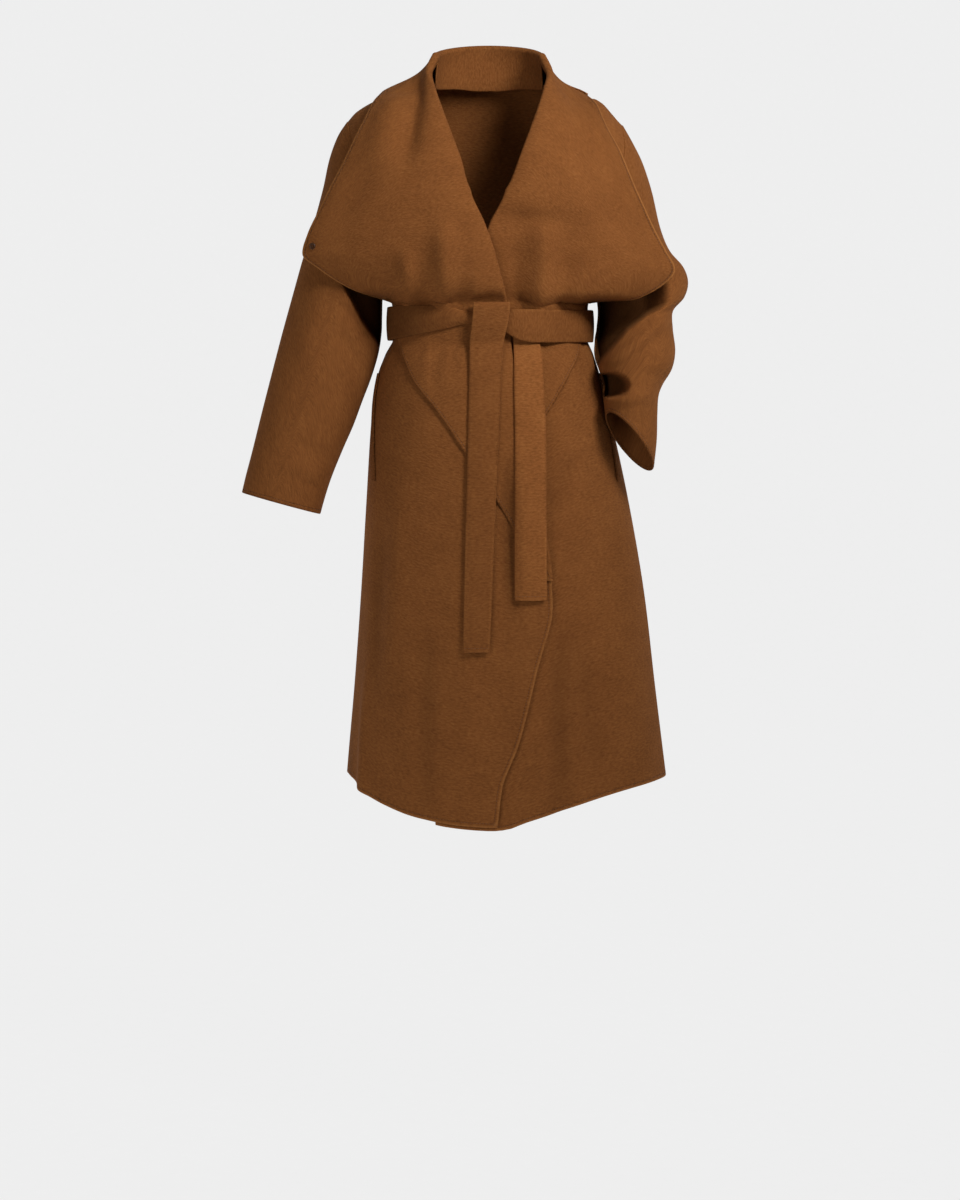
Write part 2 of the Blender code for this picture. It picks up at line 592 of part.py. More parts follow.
def collar_grid(ribs, stand_steps, turn_steps, fall_columns):
    """Points of the collar: ribs round the back of the neck, each up the stand and down the fall."""
    round_neck = np.linspace(0, math.pi, ribs + 1)[:, None]
    side, behind = -np.cos(round_neck), np.sin(round_neck)
    mix = (1 - np.cos(round_neck)) / 2

    def ends(name):
        right, left = LAPEL_RIGHT[name][-1], LAPEL_LEFT[name][-1]
        return right + (left - right) * mix

    away = unit(stack(side, behind, 0 * side)[:, 0])
    up = np.array([0.0, 0.0, 1.0])
    edge_x = side * NECK_HALF
    foot = on_body(edge_x, neckline(edge_x), 1.0)[:, 0] - away * COLLAR_INSET - up * COLLAR_SUNK
    top = stack(
        side * (ends("roll") - COLLAR_IN * behind),
        SHOULDER_Y + behind * (NECK_BACK - COLLAR_IN),
        ends("rise") + shoulder_height(NECK_HALF) + COLLAR_HIGHER * behind,
    )[:, 0]
    rise, inset = STAND_LEAN
    run = unit(up * rise - away * inset)
    out = unit(away * rise + up * inset)
    height = np.linalg.norm(top - foot, axis=-1)[:, None, None]
    t = np.linspace(0, 1, stand_steps + 1)[None, :, None]
    stand = hermite(foot[:, None], up * height, top[:, None], run[:, None] * height, t)
    last = math.radians(COLLAR_TURN)
    angle = last * (np.arange(1, turn_steps + 1) / turn_steps)[None, :, None]
    turn = top[:, None] + ROLL_RADIUS * (
        out[:, None] * (1 - np.cos(angle)) + run[:, None] * np.sin(angle)
    )
    leave = run * math.cos(last) + out * math.sin(last)
    edge_level = 1 - COLLAR_FALL * behind**0.9
    edge = on_body(side * ends("edge_x"), edge_level, 1.0, COLLAR_CLEAR)[:, 0]
    span = np.linalg.norm(edge - turn[:, -1], axis=-1)[:, None]
    arrive = unit(unit(edge - turn[:, -1]) - up * COLLAR_HANG * behind)
    share = (np.arange(1, fall_columns + 1) / fall_columns)[None, :, None]
    fall = hermite(
        turn[:, -1][:, None],
        (leave * span * COLLAR_RUN)[:, None],
        edge[:, None],
        (arrive * span * COLLAR_RUN)[:, None],
        share,
    )
    sag = (SAG_RIGHT + (SAG_LEFT - SAG_RIGHT) * mix) * side**2
    fall[..., 2] -= SAG_FORM * share[..., 0] * (1 - share[..., 0]) ** 2 * sag
    grid = np.concatenate([stand, turn, fall], axis=1)
    grid[[0, -1], :, 1] += COLLAR_SEAM
    return settled(grid)


def sleeve_grid(hand):
    """Rings of a sleeve: the armhole first, then a ring for each row of its table."""
    rows = SLEEVE_RIGHT if hand < 0 else SLEEVE_LEFT
    beta = np.linspace(0, 2 * math.pi, SEAM_COLUMNS, endpoint=False)
    cos, sin = np.cos(beta), np.sin(beta)
    top_z = shoulder_height(ARMHOLE_TOP[0]) + SLEEVE_RAISED
    z = top_z + (UNDERARM - top_z) * (1 - cos) / 2
    low = (1 - cos) / 2
    reach = armhole_reach(z)
    side = np.where(sin >= -1e-9, -1.0, 1.0)
    y = depth_at(hand * reach, z, side)
    y = np.where(np.abs(sin) < 1e-9, SHOULDER_Y * (1 - low), y)
    at_top, half_way, at_foot = ARMHOLE_CLEAR
    clear = at_top + half_way * 4 * low * (1 - low) + at_foot * low**6
    rings = [stack(hand * (reach + clear), y, z + FOOT_RAISED * low**6)]
    armhole_y = y
    for i, section in enumerate(zip(*rows.values())):
        outer_x, outer_z, inner_x, inner_z, depth, middle, drop = section
        kept = ARMHOLE_KEPT[i] if i < len(ARMHOLE_KEPT) else 0
        x = (outer_x + inner_x) / 2 + (outer_x - inner_x) / 2 * cos
        z = (outer_z + inner_z) / 2 + (outer_z - inner_z) / 2 * cos + drop * sin
        y = (middle - depth * sin) * (1 - kept) + armhole_y * kept
        rings.append(stack(hand * x, y, z))
    return settled(np.array(rings))


def belt_lift(angle, x):
    """Lift of the belt: over both fronts and lapels at the centre, and over one layer behind."""
    over = np.where(x < 0, ease(x, *RIGHT_OVER), ease(-x, *LEFT_OVER))
    front = 2 * LAYER * (1 + over) + BELT_ROOM
    behind = ease(np.abs(180 - np.degrees(angle)), *BELT_SIDES)
    return (LAYER + BELT_ROOM) * (1 - behind) + front * behind


def belt_grid(columns, rows):
    """The belt from the knot round the body and back to the knot, narrowed where it enters."""
    angle = np.radians(np.linspace(BELT_START, BELT_STOP, columns + 1))[:, None]
    share = np.linspace(0, 1, rows + 1)[None]
    level = np.full(share.shape, BELT_MIDDLE - CHEST)
    centre, half, _, _ = ring(body_height(level))
    sine, cosine = np.sin(angle), np.cos(angle)
    x = centre + half * np.sign(sine) * np.abs(sine) ** (2 / RING_POWER)
    side = np.where(cosine > 0, -1.0, 1.0)
    over_end = ease(-x, -0.110, -0.070) * (side < 0) * (sine > 0)
    place = on_body(x, level + 0 * x, side, belt_lift(angle, x) + BELT_PASSED * over_end)

    # Behind, the edges run straight from one side's height to the other's.
    ends = [0, -1]

    def read(name):
        values = BELT_FRONT[name]
        behind = np.interp(x, BELT_FRONT["x"][ends], values[ends])
        return np.where(side < 0, smooth(x, BELT_FRONT["x"], values), behind)

    place[..., 2] = read("foot") + (read("top") - read("foot")) * share
    bow = read("bow") * 4 * share * (1 - share)
    return place + outward(x, level + 0 * x, side) * bow[..., None]


def tail_grid(rows, columns, path):
    """A hanging end of the belt, from a table of its height, edges and lift."""
    t = path["z"][-1] - (path["z"][-1] - path["z"][0]) * np.linspace(1, 0, rows + 1)[:, None] ** ROWS_CLOSER
    left = smooth(t, path["z"], path["left"])
    right = smooth(t, path["z"], path["right"])
    lift = smooth(t, path["z"], path["lift"])
    share = np.linspace(0, 1, columns + 1)[None]
    x = left + (right - left) * share
    bow = END_BOW * (1 - (2 * share - 1) ** 2)
    dip = HEM_DIP_FRONT * ease(-t, -DIP_TOP, -HEM)
    place = on_body(x, t - CHEST, -1.0, 4 * LAYER + lift + bow)
    place[..., 2] += dip
    return place


def tail_long_grid(rows, columns):
    """The long end, which comes over the top of the knot and falls in front of it."""
    hanging = tail_grid(rows, columns, TAIL_LONG)
    top = hanging[-1]
    angle = np.radians(END_FOLD_TURN * np.arange(1, 5) / 4)[:, None]
    over = stack(
        top[None, :, 0] + 0 * angle,
        top[None, :, 1] + END_FOLD * (1 - np.cos(angle)),
        top[None, :, 2] + END_FOLD_RISE * np.sin(angle),
    )
    return np.concatenate([hanging, over])


def knot_grid():
    """The knot's core: rings along its width, thickest in the middle."""
    station = np.linspace(-1, 1, 9)[:, None]
    beta = np.linspace(0, 2 * math.pi, 12, endpoint=False)[None]
    x = KNOT_X + KNOT_HALF * station + 0 * beta
    carrier = on_body(x, KNOT_Z - CHEST, -1.0, 4 * LAYER + KNOT_LIFT)[..., 1]
    size = np.sqrt(1 - np.abs(KNOT_ENDS * station) ** 2.5)
    y = carrier - KNOT_DEPTH * size * np.sin(beta)
    z = KNOT_Z + KNOT_HEIGHT * size * np.cos(beta)
    return stack(x, y, z)


def welt_grid(hand, rows, columns):
    """A strip on the front beside the side seam, over the mouth of the pocket."""
    t = np.linspace(0, 1, rows + 1)[:, None]
    level = WELT_TOP + (WELT_FOOT - WELT_TOP) * t - CHEST
    centre, half, _, _ = ring(body_height(level))
    share = np.linspace(0, 1, columns + 1)[None]
    angle = np.radians(WELT_ANGLE - WELT_SLANT * t + WELT_WIDTH * share)
    x = centre + hand * half * np.sin(angle) ** (2 / RING_POWER)
    return on_body(x, level + 0 * x, -1.0, WELT_LIFT + 0 * x)


def finish(obj, material, collection, wall=None):
    """Gives an object its material, its collection and, for cloth, its thickness."""
    collection.objects.link(obj)
    obj.data.materials.append(material)
    if wall:
        shell = obj.modifiers.new("wall", "SOLIDIFY")
        shell.thickness = wall
        shell.offset = 0
        shell.use_even_offset = True
        shell.use_quality_normals = True
    obj.data.shade_smooth()
    return obj


def grid_mesh(name, grid, closed=False, missing=None, capped=False):
    """A mesh over a grid of points; closed joins its last column to its first.

    missing is (rows, columns): the first quads of that many rows are left out past that column.
    """
    rows, columns, _ = grid.shape
    index = np.arange(rows * columns).reshape(rows, columns)
    if closed:
        index = np.concatenate([index, index[:, :1]], axis=1)
    quads = np.stack(
        [index[:-1, :-1], index[:-1, 1:], index[1:, 1:], index[1:, :-1]], axis=-1
    )
    keep = np.ones(quads.shape[:2], bool)
    if missing:
        keep[: missing[0], missing[1] :] = False
    faces = [list(map(int, quad)) for quad in quads[keep]]
    if capped:
        faces += [list(map(int, index[0, :-1][::-1])), list(map(int, index[-1, :-1]))]
    used = np.unique(np.concatenate([np.array(face) for face in faces]))
    new = np.full(rows * columns, -1)
    new[used] = np.arange(len(used))
    mesh = bpy.data.meshes.new(name)
    points = grid.reshape(-1, 3)[used]
    mesh.from_pydata(points.tolist(), [], [new[face].tolist() for face in faces])
    mesh.update()
    return bpy.data.objects.new(name, mesh)


def snap_button(place, normal):
    """A flat ring snap: its profile turned about Z, then set on the lapel's tip."""
    mesh = bpy.data.meshes.new("lapel_button")
    points = np.stack([SNAP["reach"], 0 * SNAP["reach"], SNAP["height"]], axis=-1).tolist()
    mesh.from_pydata(points, [(i, i + 1) for i in range(len(points) - 1)], [])
    button = bpy.data.objects.new("lapel_button", mesh)
    screw = button.modifiers.new("turn", "SCREW")
    screw.steps = screw.render_steps = 16
    screw.use_merge_vertices = True
    screw.merge_threshold = 0.0001
    z = unit(normal)
    x = unit(np.cross([0.0, 0.0, 1.0], z))
    y = np.cross(z, x)
    turned = Matrix(np.array([x, y, z]).T.tolist()).to_4x4()
    button.matrix_world = Matrix.Translation(place.tolist()) @ turned
    return button


def principled(name, colour, roughness, metallic=0.0):
    material = bpy.data.materials.new(name)
    material.use_nodes = True
    shader = material.node_tree.nodes["Principled BSDF"]
    shader.inputs["Base Color"].default_value = (*colour, 1)
    shader.inputs["Roughness"].default_value = roughness
    shader.inputs["Metallic"].default_value = metallic
    return material


def button_seat(grid, levels):
    """Point and outward normal of the right lapel where the snap sits."""
    row = int(np.argmin(np.abs(levels - BUTTON_LEVEL)))
    along = grid[row, -1] - grid[row, -2]
    down = grid[row - 1, -2] - grid[row + 1, -2]
    normal = unit(np.cross(along, down))
    normal *= -np.sign(normal[1])
    return grid[row, -2] + along * BUTTON_SHARE + normal * (CLOTH / 2 + 0.0003), normal


def build():
    for obj in list(bpy.data.objects):
        bpy.data.objects.remove(obj)
    coat = bpy.data.collections.new("wool_wrap_coat")
    bpy.context.scene.collection.children.link(coat)
    wool = principled("brushed_wool", (0.18, 0.075, 0.025), 0.9)
    dark = principled("dark_horn_plastic", (0.02, 0.012, 0.008), 0.35)

    levels = front_levels()
    below_break = int(np.sum(body_height(levels) < BREAK - 1e-6))
    fronts = {}
    for name, hand in (("front_right", -1), ("front_left", 1)):
        grid = front_grid(hand, levels, PANEL_COLUMNS, TURN_STEPS, LAPEL_STEPS)
        fronts[name] = grid
        sheet = grid_mesh(name, grid, missing=(below_break, PANEL_COLUMNS))
        finish(sheet, wool, coat, CLOTH)
    finish(grid_mesh("back", back_grid(BACK_COLUMNS)), wool, coat, CLOTH)
    finish(grid_mesh("collar", collar_grid(18, 3, 4, 7)), wool, coat, CLOTH)
    for name, hand in (("sleeve_right", -1), ("sleeve_left", 1)):
        finish(grid_mesh(name, sleeve_grid(hand), closed=True), wool, coat, CLOTH)
        welt = grid_mesh(name.replace("sleeve", "pocket_welt"), welt_grid(hand, 6, 2))
        finish(welt, wool, coat, CLOTH)
    finish(grid_mesh("belt", belt_grid(44, 3)), wool, coat, BELT_CLOTH)
    finish(grid_mesh("tail_long", tail_long_grid(16, 3)), wool, coat, BELT_CLOTH)
    finish(grid_mesh("tail_short", tail_grid(14, 3, TAIL_SHORT)), wool, coat, BELT_CLOTH)
    knot = grid_mesh("knot", knot_grid(), closed=True, capped=True)
    finish(knot, wool, coat)

    finish(snap_button(*button_seat(fronts["front_right"], levels)), dark, coat)


build()
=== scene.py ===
"""Wool wrap coat: the cloth, stitching and snap of a belted wrap coat, dressed over its solids.

Lengths are metres, and millimetres in the tables. +Z is up and the origin is the base of the neck.
The front faces -Y, and the coat's own left side is at +X. The right front wraps over the left one.
"""

import math

import bpy
import numpy as np
from bpy.props import FloatProperty, FloatVectorProperty, PointerProperty
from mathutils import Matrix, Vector


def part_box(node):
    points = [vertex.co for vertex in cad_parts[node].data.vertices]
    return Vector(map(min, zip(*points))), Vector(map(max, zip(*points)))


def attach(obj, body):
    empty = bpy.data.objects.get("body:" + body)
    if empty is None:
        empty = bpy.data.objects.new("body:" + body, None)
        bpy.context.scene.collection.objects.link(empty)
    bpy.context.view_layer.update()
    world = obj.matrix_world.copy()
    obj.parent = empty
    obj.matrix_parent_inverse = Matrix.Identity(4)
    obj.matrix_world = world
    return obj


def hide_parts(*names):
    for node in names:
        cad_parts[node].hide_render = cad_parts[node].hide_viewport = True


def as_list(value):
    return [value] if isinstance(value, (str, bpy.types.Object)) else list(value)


bl_info = {
    "name": "Wool wrap coat",
    "version": (1, 0, 0),
    "blender": (4, 5, 0),
    "location": "3D View > Sidebar > Coat",
    "description": "Makes a belted wool wrap coat in its worn form",
    "category": "Object",
}

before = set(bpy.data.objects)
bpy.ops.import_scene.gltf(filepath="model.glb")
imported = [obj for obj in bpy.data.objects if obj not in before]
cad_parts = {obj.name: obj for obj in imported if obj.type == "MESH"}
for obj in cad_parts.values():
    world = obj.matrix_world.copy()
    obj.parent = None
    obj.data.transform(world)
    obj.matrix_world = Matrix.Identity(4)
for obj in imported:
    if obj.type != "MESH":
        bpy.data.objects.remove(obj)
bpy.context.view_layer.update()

CLOTH = 0.0024  # thickness of the coat cloth
BELT_CLOTH = 0.0034  # the belt is sewn double
LAYER = 0.0037  # from the middle of one layer of cloth to the middle of the next
BELT_ROOM = 0.0002  # more than that under the belt, whose cloth is thicker
SEAM = 0.0007  # between the edges of two pieces that are sewn together
SEAM_WIDER, SEAM_OVER = 1.5, 0.008  # how many seams wider it is at the armhole, over what height

CHEST = -0.165  # height where the body's rings end and the shoulder dome starts
UNDERARM = -0.285
HEM = -1.013  # height of the hem at the side seams
HEM_DIP_FRONT = 0.054  # how much lower it hangs at the centre front
HEM_DIP_BACK = 0.022
HEM_ROUND, HEM_STRAIGHT = 1.7, 1.1  # how it dips to the right and to the left of the centre
UNDER_HEM = 0.006  # how far the left front's hem shows below the right one's
UNDER_FROM = (-0.060, 0.0)  # reach over which that starts
DIP_TOP = -0.780  # where the dip starts to show in the rows
BREAK = -0.716  # height where the lapel starts to turn out of the front edge
SHOULDER_Y = 0.005
NECK_HALF = 0.080
NECK_BACK = 0.070
RING_POWER = 2.25  # 2 is an ellipse, more is squarer
FRONT_DOME, BACK_DOME = 1.95, 3.0
SHOULDER_LEAN = 0.1  # height over which a layer's lift turns from sideways to upwards
ARMHOLE_TOP = (0.205, -0.058)  # reach from the centre, height
ARMHOLE_FOOT = (0.150, UNDERARM)
ROLL_RADIUS = 0.0045  # of the soft roll of the lapels
SAG = {-1: 0.010, 1: 0.014}  # of each lapel between its roll and its edge on the shoulder
SAG_FORM = 6.75  # makes the sag 1 at its deepest, a third of the way from the roll
SAG_LEVELS = (0.45, 0.95)  # levels over which it starts
LOOSE_FROM, LOOSE_SOFT = (0.14, 0.6), (0.2, 0.8)  # shares of a lapel and of its roll that free it
LEFT_IN, LEFT_DOWN = 0.013, 0.006  # how far the left shoulder is carried in and down
LEFT_IN_X, LEFT_IN_Z = (0.140, 0.205), (-0.110, -0.050)  # where it starts and where it is full
LEFT_DOWN_X, LEFT_DOWN_Z = (0.060, 0.130), (-0.150, -0.030)
LEFT_KEPT = 0.8  # share of the way down that its middle is spared
LEFT_KEPT_X = ((0.138, 0.158), (0.168, 0.196))  # reaches over which that starts and ends
SIDE_FADE = (0.1, 0.5)  # depths, as shares of the ring's, over which creases fade at the sides
RIGHT_OVER = (-0.155, -0.085)  # reach over which the right front rises onto the left one
LEFT_OVER = (-0.100, -0.040)  # the same for the belt at the coat's left, towards the middle
CHEST_LEVELS = (-0.08, 0.035)  # levels over which the right front comes down to the chest
CHEST_SHARE = 0.85  # share of its rise that it loses there; the rest goes over the shoulder
COLLAR_FALL, COLLAR_ROUND = 0.88, 0.9  # how far down the dome the collar falls behind, how round
COLLAR_CLEAR = 0.008  # between the collar's edge and the body
TINY = 1e-6
UP = np.array([0.0, 0.0, 1.0])


def table(text):
    """A text table's columns by name: millimetres made metres, or as they are where a * follows."""
    names, *rows = (line.split() for line in text.strip().splitlines())
    columns = np.array(rows, float).T
    return {
        name.strip("*"): column if "*" in name else column / 1000
        for name, column in zip(names, columns)
    }


BODY = table("""
z left right front back
-1130 213 276 176 168
-1013 204 261 168 160
-880 193 244 159 152
-750 185 228 150 145
-614 178 204 142 138
-475 169 173 132 128
-425 160 160 123 117
-398 149 151 112 103
-377 138 143 103 92
-325 138 143 103 92
-305 145 147 111 98
-285 150 150 117 104
-220 178 178 128 112
-165 212 212 128 115
""")
SHOULDER = table("""
reach z
0 9
40 5
80 -7
115 -15
152 -26
190 -46
205 -62
220 -82
""")
# Soft folds of the skirt: where round the body (0 front, 90 the coat's left, 180 back), how wide,
# how far each stands out, and the height where it starts.
FOLDS = table("""
angle* width* depth top
-105 15 8 -450
-74 11 -4 -500
-146 16 11 -420
-125 10 -6 -420
-170 13 -5 -420
170 15 9 -420
145 12 -6 -420
124 15 11 -420
100 11 -4 -500
68 12 -3 -550
""")
# The coat's right side is -1 and its left side 1. A row for each rib of a lapel. Below 0 the level
# is the height over the chest line, above 0 the share of the way over the shoulder. Reaches are
# measured towards the coat's own side.
# rise: how far the neck's stand lifts the roll; soft: 1 where the roll is full, 0 where it is
# pressed flat; loose: 0 where the lapel lies on its front, 1 where it hangs free.
LAPELS = {
    -1: table("""
level roll rise soft* edge_x edge_y edge_z loose*
-600 -88 0 0 -86 -140 0 0
-551 -86 0 0 -80 -140 0 0
-480 -76 0 0 -37 -140 0 0
-441 -71 0 0 -13 -140 0 0
-363 -58 0 0 37 -140 0 0
-311 -46 0 0 71 -140 0 0
-261 -34 0 0 107 -140 0 0
-210 -27 0 0 124 -100 -375 0
-162 -22 0 0.3 128 -40 -327 0
-140 -17 0 0.7 196 -82 -303 1
-115 -10 0 1 240 -86 -276 1
-85 -2 0 1 266 -86 -253 1
-45 12 0 1 258 -90 -225 1
0 31 0 1 243 -92 -194 1
170 45 0 1 225 -92 -157 1
330 59 0 1 206 -88 -121 1
500 71 1 1 190 -78 -87 1
670 80 6 1 176 -62 -58 1
830 83 18 1 165 -36 -34 1
1000 73 38 1 155 5 -18 1
"""),
    1: table("""
level roll rise soft* edge_x edge_y edge_z loose*
-600 -88 0 0 -86 -140 0 0
-551 -86 0 0 -80 -140 0 0
-480 -77 0 0 -25 -140 0 0
-441 -72 0 0 1 -140 0 0
-319 -55 0 0 79 -140 0 0
-261 -45 0 0 112 -140 0 0
-210 -36 0 0 130 -100 -375 0
-162 -30 0 0 131 -40 -329 0
-140 -25 0 0 210 -86 -317 1
-108 -18 0 0 265 -88 -277 1
-75 -8 0 0 252 -90 -250 1
-45 5 0 0.3 238 -90 -224 1
0 28 0 1 222 -92 -190 1
170 47 0 1 205 -92 -153 1
330 61 0 1 191 -88 -118 1
500 73 1 1 178 -78 -85 1
670 81 6 1 168 -62 -60 1
830 84 18 1 156 -36 -36 1
1000 73 38 1 143 5 -18 1
"""),
}
# Below the break, the reach of each front's edge past the centre.
EDGES = {
    -1: table("""
z reach
-1013 -11
-963 -18
-915 -42
-840 -66
-755 -88
-716 -86
"""),
    1: table("""
z reach
-1013 -76
-900 -81
-755 -88
-716 -86
"""),
}
# Each section of a sleeve: the outer and inner ends of the ring seen from the front, half of its
# depth, the middle of its depth, and how far its back hangs below its front.
SLEEVES = {
    -1: table("""
outer_x outer_z inner_x inner_z depth middle drop
219 -83 155.5 -303 80 1 0
231 -116 156.5 -321 79 1 0
240 -157 157 -343 77 0 0
254 -208 158 -368 75 -1 0
270 -260 163 -398 73 -3 0
285 -313 173 -431 71 -5 0
300 -367 186 -465 69 -8 0
315 -424 199 -500 67 -11 0
330 -482 214 -534 65 -14 0
344 -538 230 -573 63 -17 1
353 -572 240 -603 62 -19 2
359 -597 247 -628 61 -20 3
"""),
    1: table("""
outer_x outer_z inner_x inner_z depth middle drop
211 -85 155.5 -301 80 1 0
222 -119 158 -316 79 2 0
236 -162 160 -331 78 4 0
248 -212 160 -344 77 7 0
262 -246 159 -354 78 8 0
282 -270 158 -363 79 6 0
289 -292 156 -372 80 0 2
283 -314 155 -382 78 -10 4
266 -334 154 -392 73 -22 6
265 -360 155 -403 70 -34 8
268 -392 159 -415 68 -46 10
263 -417 163 -428 64 -56 12
250 -438 166 -441 60 -64 14
243 -456 165 -452 56 -70 16
241 -482 166 -462 52 -76 18
240 -520 167 -472 49 -81 20
236 -557 168 -484 46 -85 22
"""),
}

ARMHOLE_CLEAR = (0.0011, 0.0009, 0.0028)  # from a panel's edge to its sleeve; these add up
SLEEVE_RAISED, FOOT_RAISED = 0.0005, 0.001  # of the armhole's ring at its top and its foot
ARMHOLE_KEPT = (0.7, 0.4, 0.15)  # share of the armhole's depth that the first rings keep

STAND_RISE = 0.02  # rise of the neck's stand that turns a front's end upright
STAND_COLUMNS = 15  # last columns of a front, which bend into that stand
ROLL_TURN = 152.0  # degrees the soft roll of a lapel turns; a pressed one turns 180
COLLAR_TURN = 142.0
COLLAR_INSET = 0.003  # between the neckline's edge and the middle of the collar's stand
COLLAR_SEAM = 0.0012  # from a lapel's last row to the collar's end
COLLAR_SUNK = 0.005  # how far the stand's foot lies below the neckline's edge
STAND_LEAN = (0.97, 0.25)  # upward and inward parts of the stand's direction at its top
LAPEL_RUNS = (0.6, 0.8)  # how straight a lapel leaves its roll and meets its edge
COLLAR_RUNS = (0.9, 0.9)
COLLAR_IN = 0.004  # how much nearer the neck the stand's top lies than the neckline
COLLAR_HIGHER = 0.018  # how much higher the collar stands behind than beside the neck
COLLAR_HANG = 0.5  # how steeply its edge hangs behind
EDGE_BACK = (0, 0.45, -0.12)  # how a lapel's edge curls back towards the body

BELT_MIDDLE = -0.3525
BELT_START, BELT_STOP = 6.0, 354.0  # degrees round the body, from the knot and back to it
BELT_SIDES = (55, 85)  # degrees from the middle of the back where it passes to the front's lift
BELT_PASSED = 0.0055  # more room where the belt passes over the short end
PASSED_FROM = (-0.110, -0.070)  # reach over which that starts, towards the middle
BELT_STRIP = 0.048  # width of the strip that the belt and its ends are made from
# The belt's edges across the front, and how far it bows out between them.
BELT_FRONT = table("""
x top foot bow
-141 -330 -375.5 1.2
-109 -327.5 -369.5 1.8
-64 -329 -360 3.2
-21 -337.5 -351 4.2
22 -335 -364 2.4
40 -334 -374 2
60 -334 -378 1.4
145 -334.5 -378 1.2
""")
KNOT_X, KNOT_Z = 0.0017, -0.346
KNOT_HALF, KNOT_HEIGHT, KNOT_DEPTH = 0.0174, 0.0148, 0.0077  # half sizes of the knot's core
KNOT_LIFT = 0.0057  # of its middle, from four layers over the body
KNOT_ENDS = 0.93  # how far along its rounding the knot's core is cut off; 1 comes to a point
KNOT_ROUND = 2.5  # of its ends; 2 is an ellipse
END_BOW = 0.0015  # how far the hanging ends bow out between their edges
ROWS_CLOSER = 1.4  # how much closer the ends' rows lie near the knot; 1 is evenly spaced
END_FOLD, END_FOLD_RISE = 0.0065, 0.0085  # depth and height of the long end's fold over the knot
END_FOLD_TURN = 165.0
# Each row of an end gives its height, its edges, and how far it lies off the coat's four layers.
TAIL_LONG = table("""
z left right lift
-816 -32.5 0 0
-735 -31.5 3 0
-655 -30 6 0
-590 -28.7 8.8 0
-520 -27.5 11.8 0
-450 -26.2 14.5 0
-408 -25.2 16 3
-380 -24 18 9
-350 -20.5 23.5 15.5
-332 -19 25.8 16
""")
TAIL_SHORT = table("""
z left right lift
-743 37.5 78 0
-630 37.5 77 0
-500 36.5 75 0
-430 35 71.5 0
-395 35 69 -1.5
-378 35 66.8 -4.5
-362 35 65 -4.5
""")

WELT_TOP, WELT_FOOT = -0.425, -0.578
WELT_ANGLE = 78.0  # degrees round the body at the welt's top
WELT_SLANT = 11.0  # how much nearer the front its foot lies
WELT_WIDTH = 4.5
WELT_LIFT = LAYER - 0.0008

# Soft creases of the cloth: each runs from (x0, z0) to (x1, z1), seen from the front (side -1) or
# the back (side 1), and bows sideways by bow. depth is out of the cloth.
BODY_CREASES = table("""
side* x0 z0 x1 z1 bow width depth
-1 -62 -374 -74 -452 4 7 -2.2
-1 -83 -374 -94 -430 -3 6 1.6
-1 -44 -374 -48 -425 3 5.5 -1.4
-1 46 -374 60 -450 4 6 -2
-1 66 -374 86 -428 2 6 1.8
-1 78 -372 108 -470 5 7.5 -2.2
-1 104 -372 128 -432 -3 7 1.7
-1 150 -520 84 -640 14 17 -3.2
-1 172 -600 112 -700 10 15 2.6
-1 168 -470 130 -600 10 14 3
-1 -150 -640 -163 -900 4 12 -4.2
-1 -128 -560 -140 -860 -4 18 4
-1 -20 -560 -50 -900 10 30 3.4
-1 60 -740 52 -1000 6 26 3.2
-1 120 -780 150 -1010 -6 22 -3.6
-1 -84 -760 -88 -1090 3 15 -5
-1 -180 -840 -186 -1120 2 9 6.2
-1 -203 -820 -208 -1120 2 11 -7
-1 100 -760 103 -1090 2 15 -6
-1 -30 -700 -36 -1060 -4 20 3.6
-1 26 -540 32 -780 0 11.5 -10
-1 -190 -420 -196 -620 4 12 -3.6
1 -40 -374 -52 -470 4 8 -2.4
1 -86 -374 -98 -440 -4 7 2
1 30 -374 36 -486 3 8 -2.6
1 82 -374 90 -430 2 6 1.8
1 110 -374 126 -470 3 7 -2
1 -70 -330 -94 -240 6 10 -3.4
1 -26 -330 -34 -262 3 8 2.4
1 48 -330 74 -230 5 11 -3.6
1 104 -330 132 -262 3 8 2.2
1 -150 -250 -60 -175 8 16 -3.6
1 152 -240 70 -180 6 15 -3
""")
CREASE_STARTS, CREASE_ENDS = (-0.10, 0.35), (0.65, 1.10)  # shares of a crease's length
DRAWN_TOP, DRAWN_FOOT = -0.331, -0.377  # where the belt draws the cloth in
DRAWN_STARTS, DRAWN_FORM = 0.010, 1.5  # height over which its gathers start, and how they end
# Gathers there: place round the body and width in degrees, height out of the cloth, and how far
# they run above the belt and below it.
GATHERS = table("""
angle* width* depth above below
-88 3 1.8 22 30
-80 2.2 -1.4 30 18
-69 3.4 1.6 18 34
-61 2.4 -1.6 24 22
-50 3 1.2 30 28
-38 2.6 -1.2 20 20
-13 2.4 1.2 18 26
14 2.2 -1.6 20 30
24 2.4 1.6 16 24
33 2.8 -1.4 24 34
47 2.6 1.4 26 22
58 2.4 -1.2 18 28
70 3.2 1.8 30 20
82 2.6 -1.6 22 30
94 3 1.8 28 24
103 2.4 -1.4 20 34
116 3.6 2 34 26
127 2.6 -1.8 24 20
138 3 1.6 20 36
150 3.2 -1.8 36 28
161 2.6 1.6 22 22
172 3.4 -1.4 26 34
-176 2.8 1.8 32 24
-164 3 -1.8 22 30
-152 3.4 1.8 30 36
-141 2.4 -1.4 18 22
-129 3.2 2 28 30
-118 2.6 -1.6 24 26
-104 3 1.6 34 20
""")
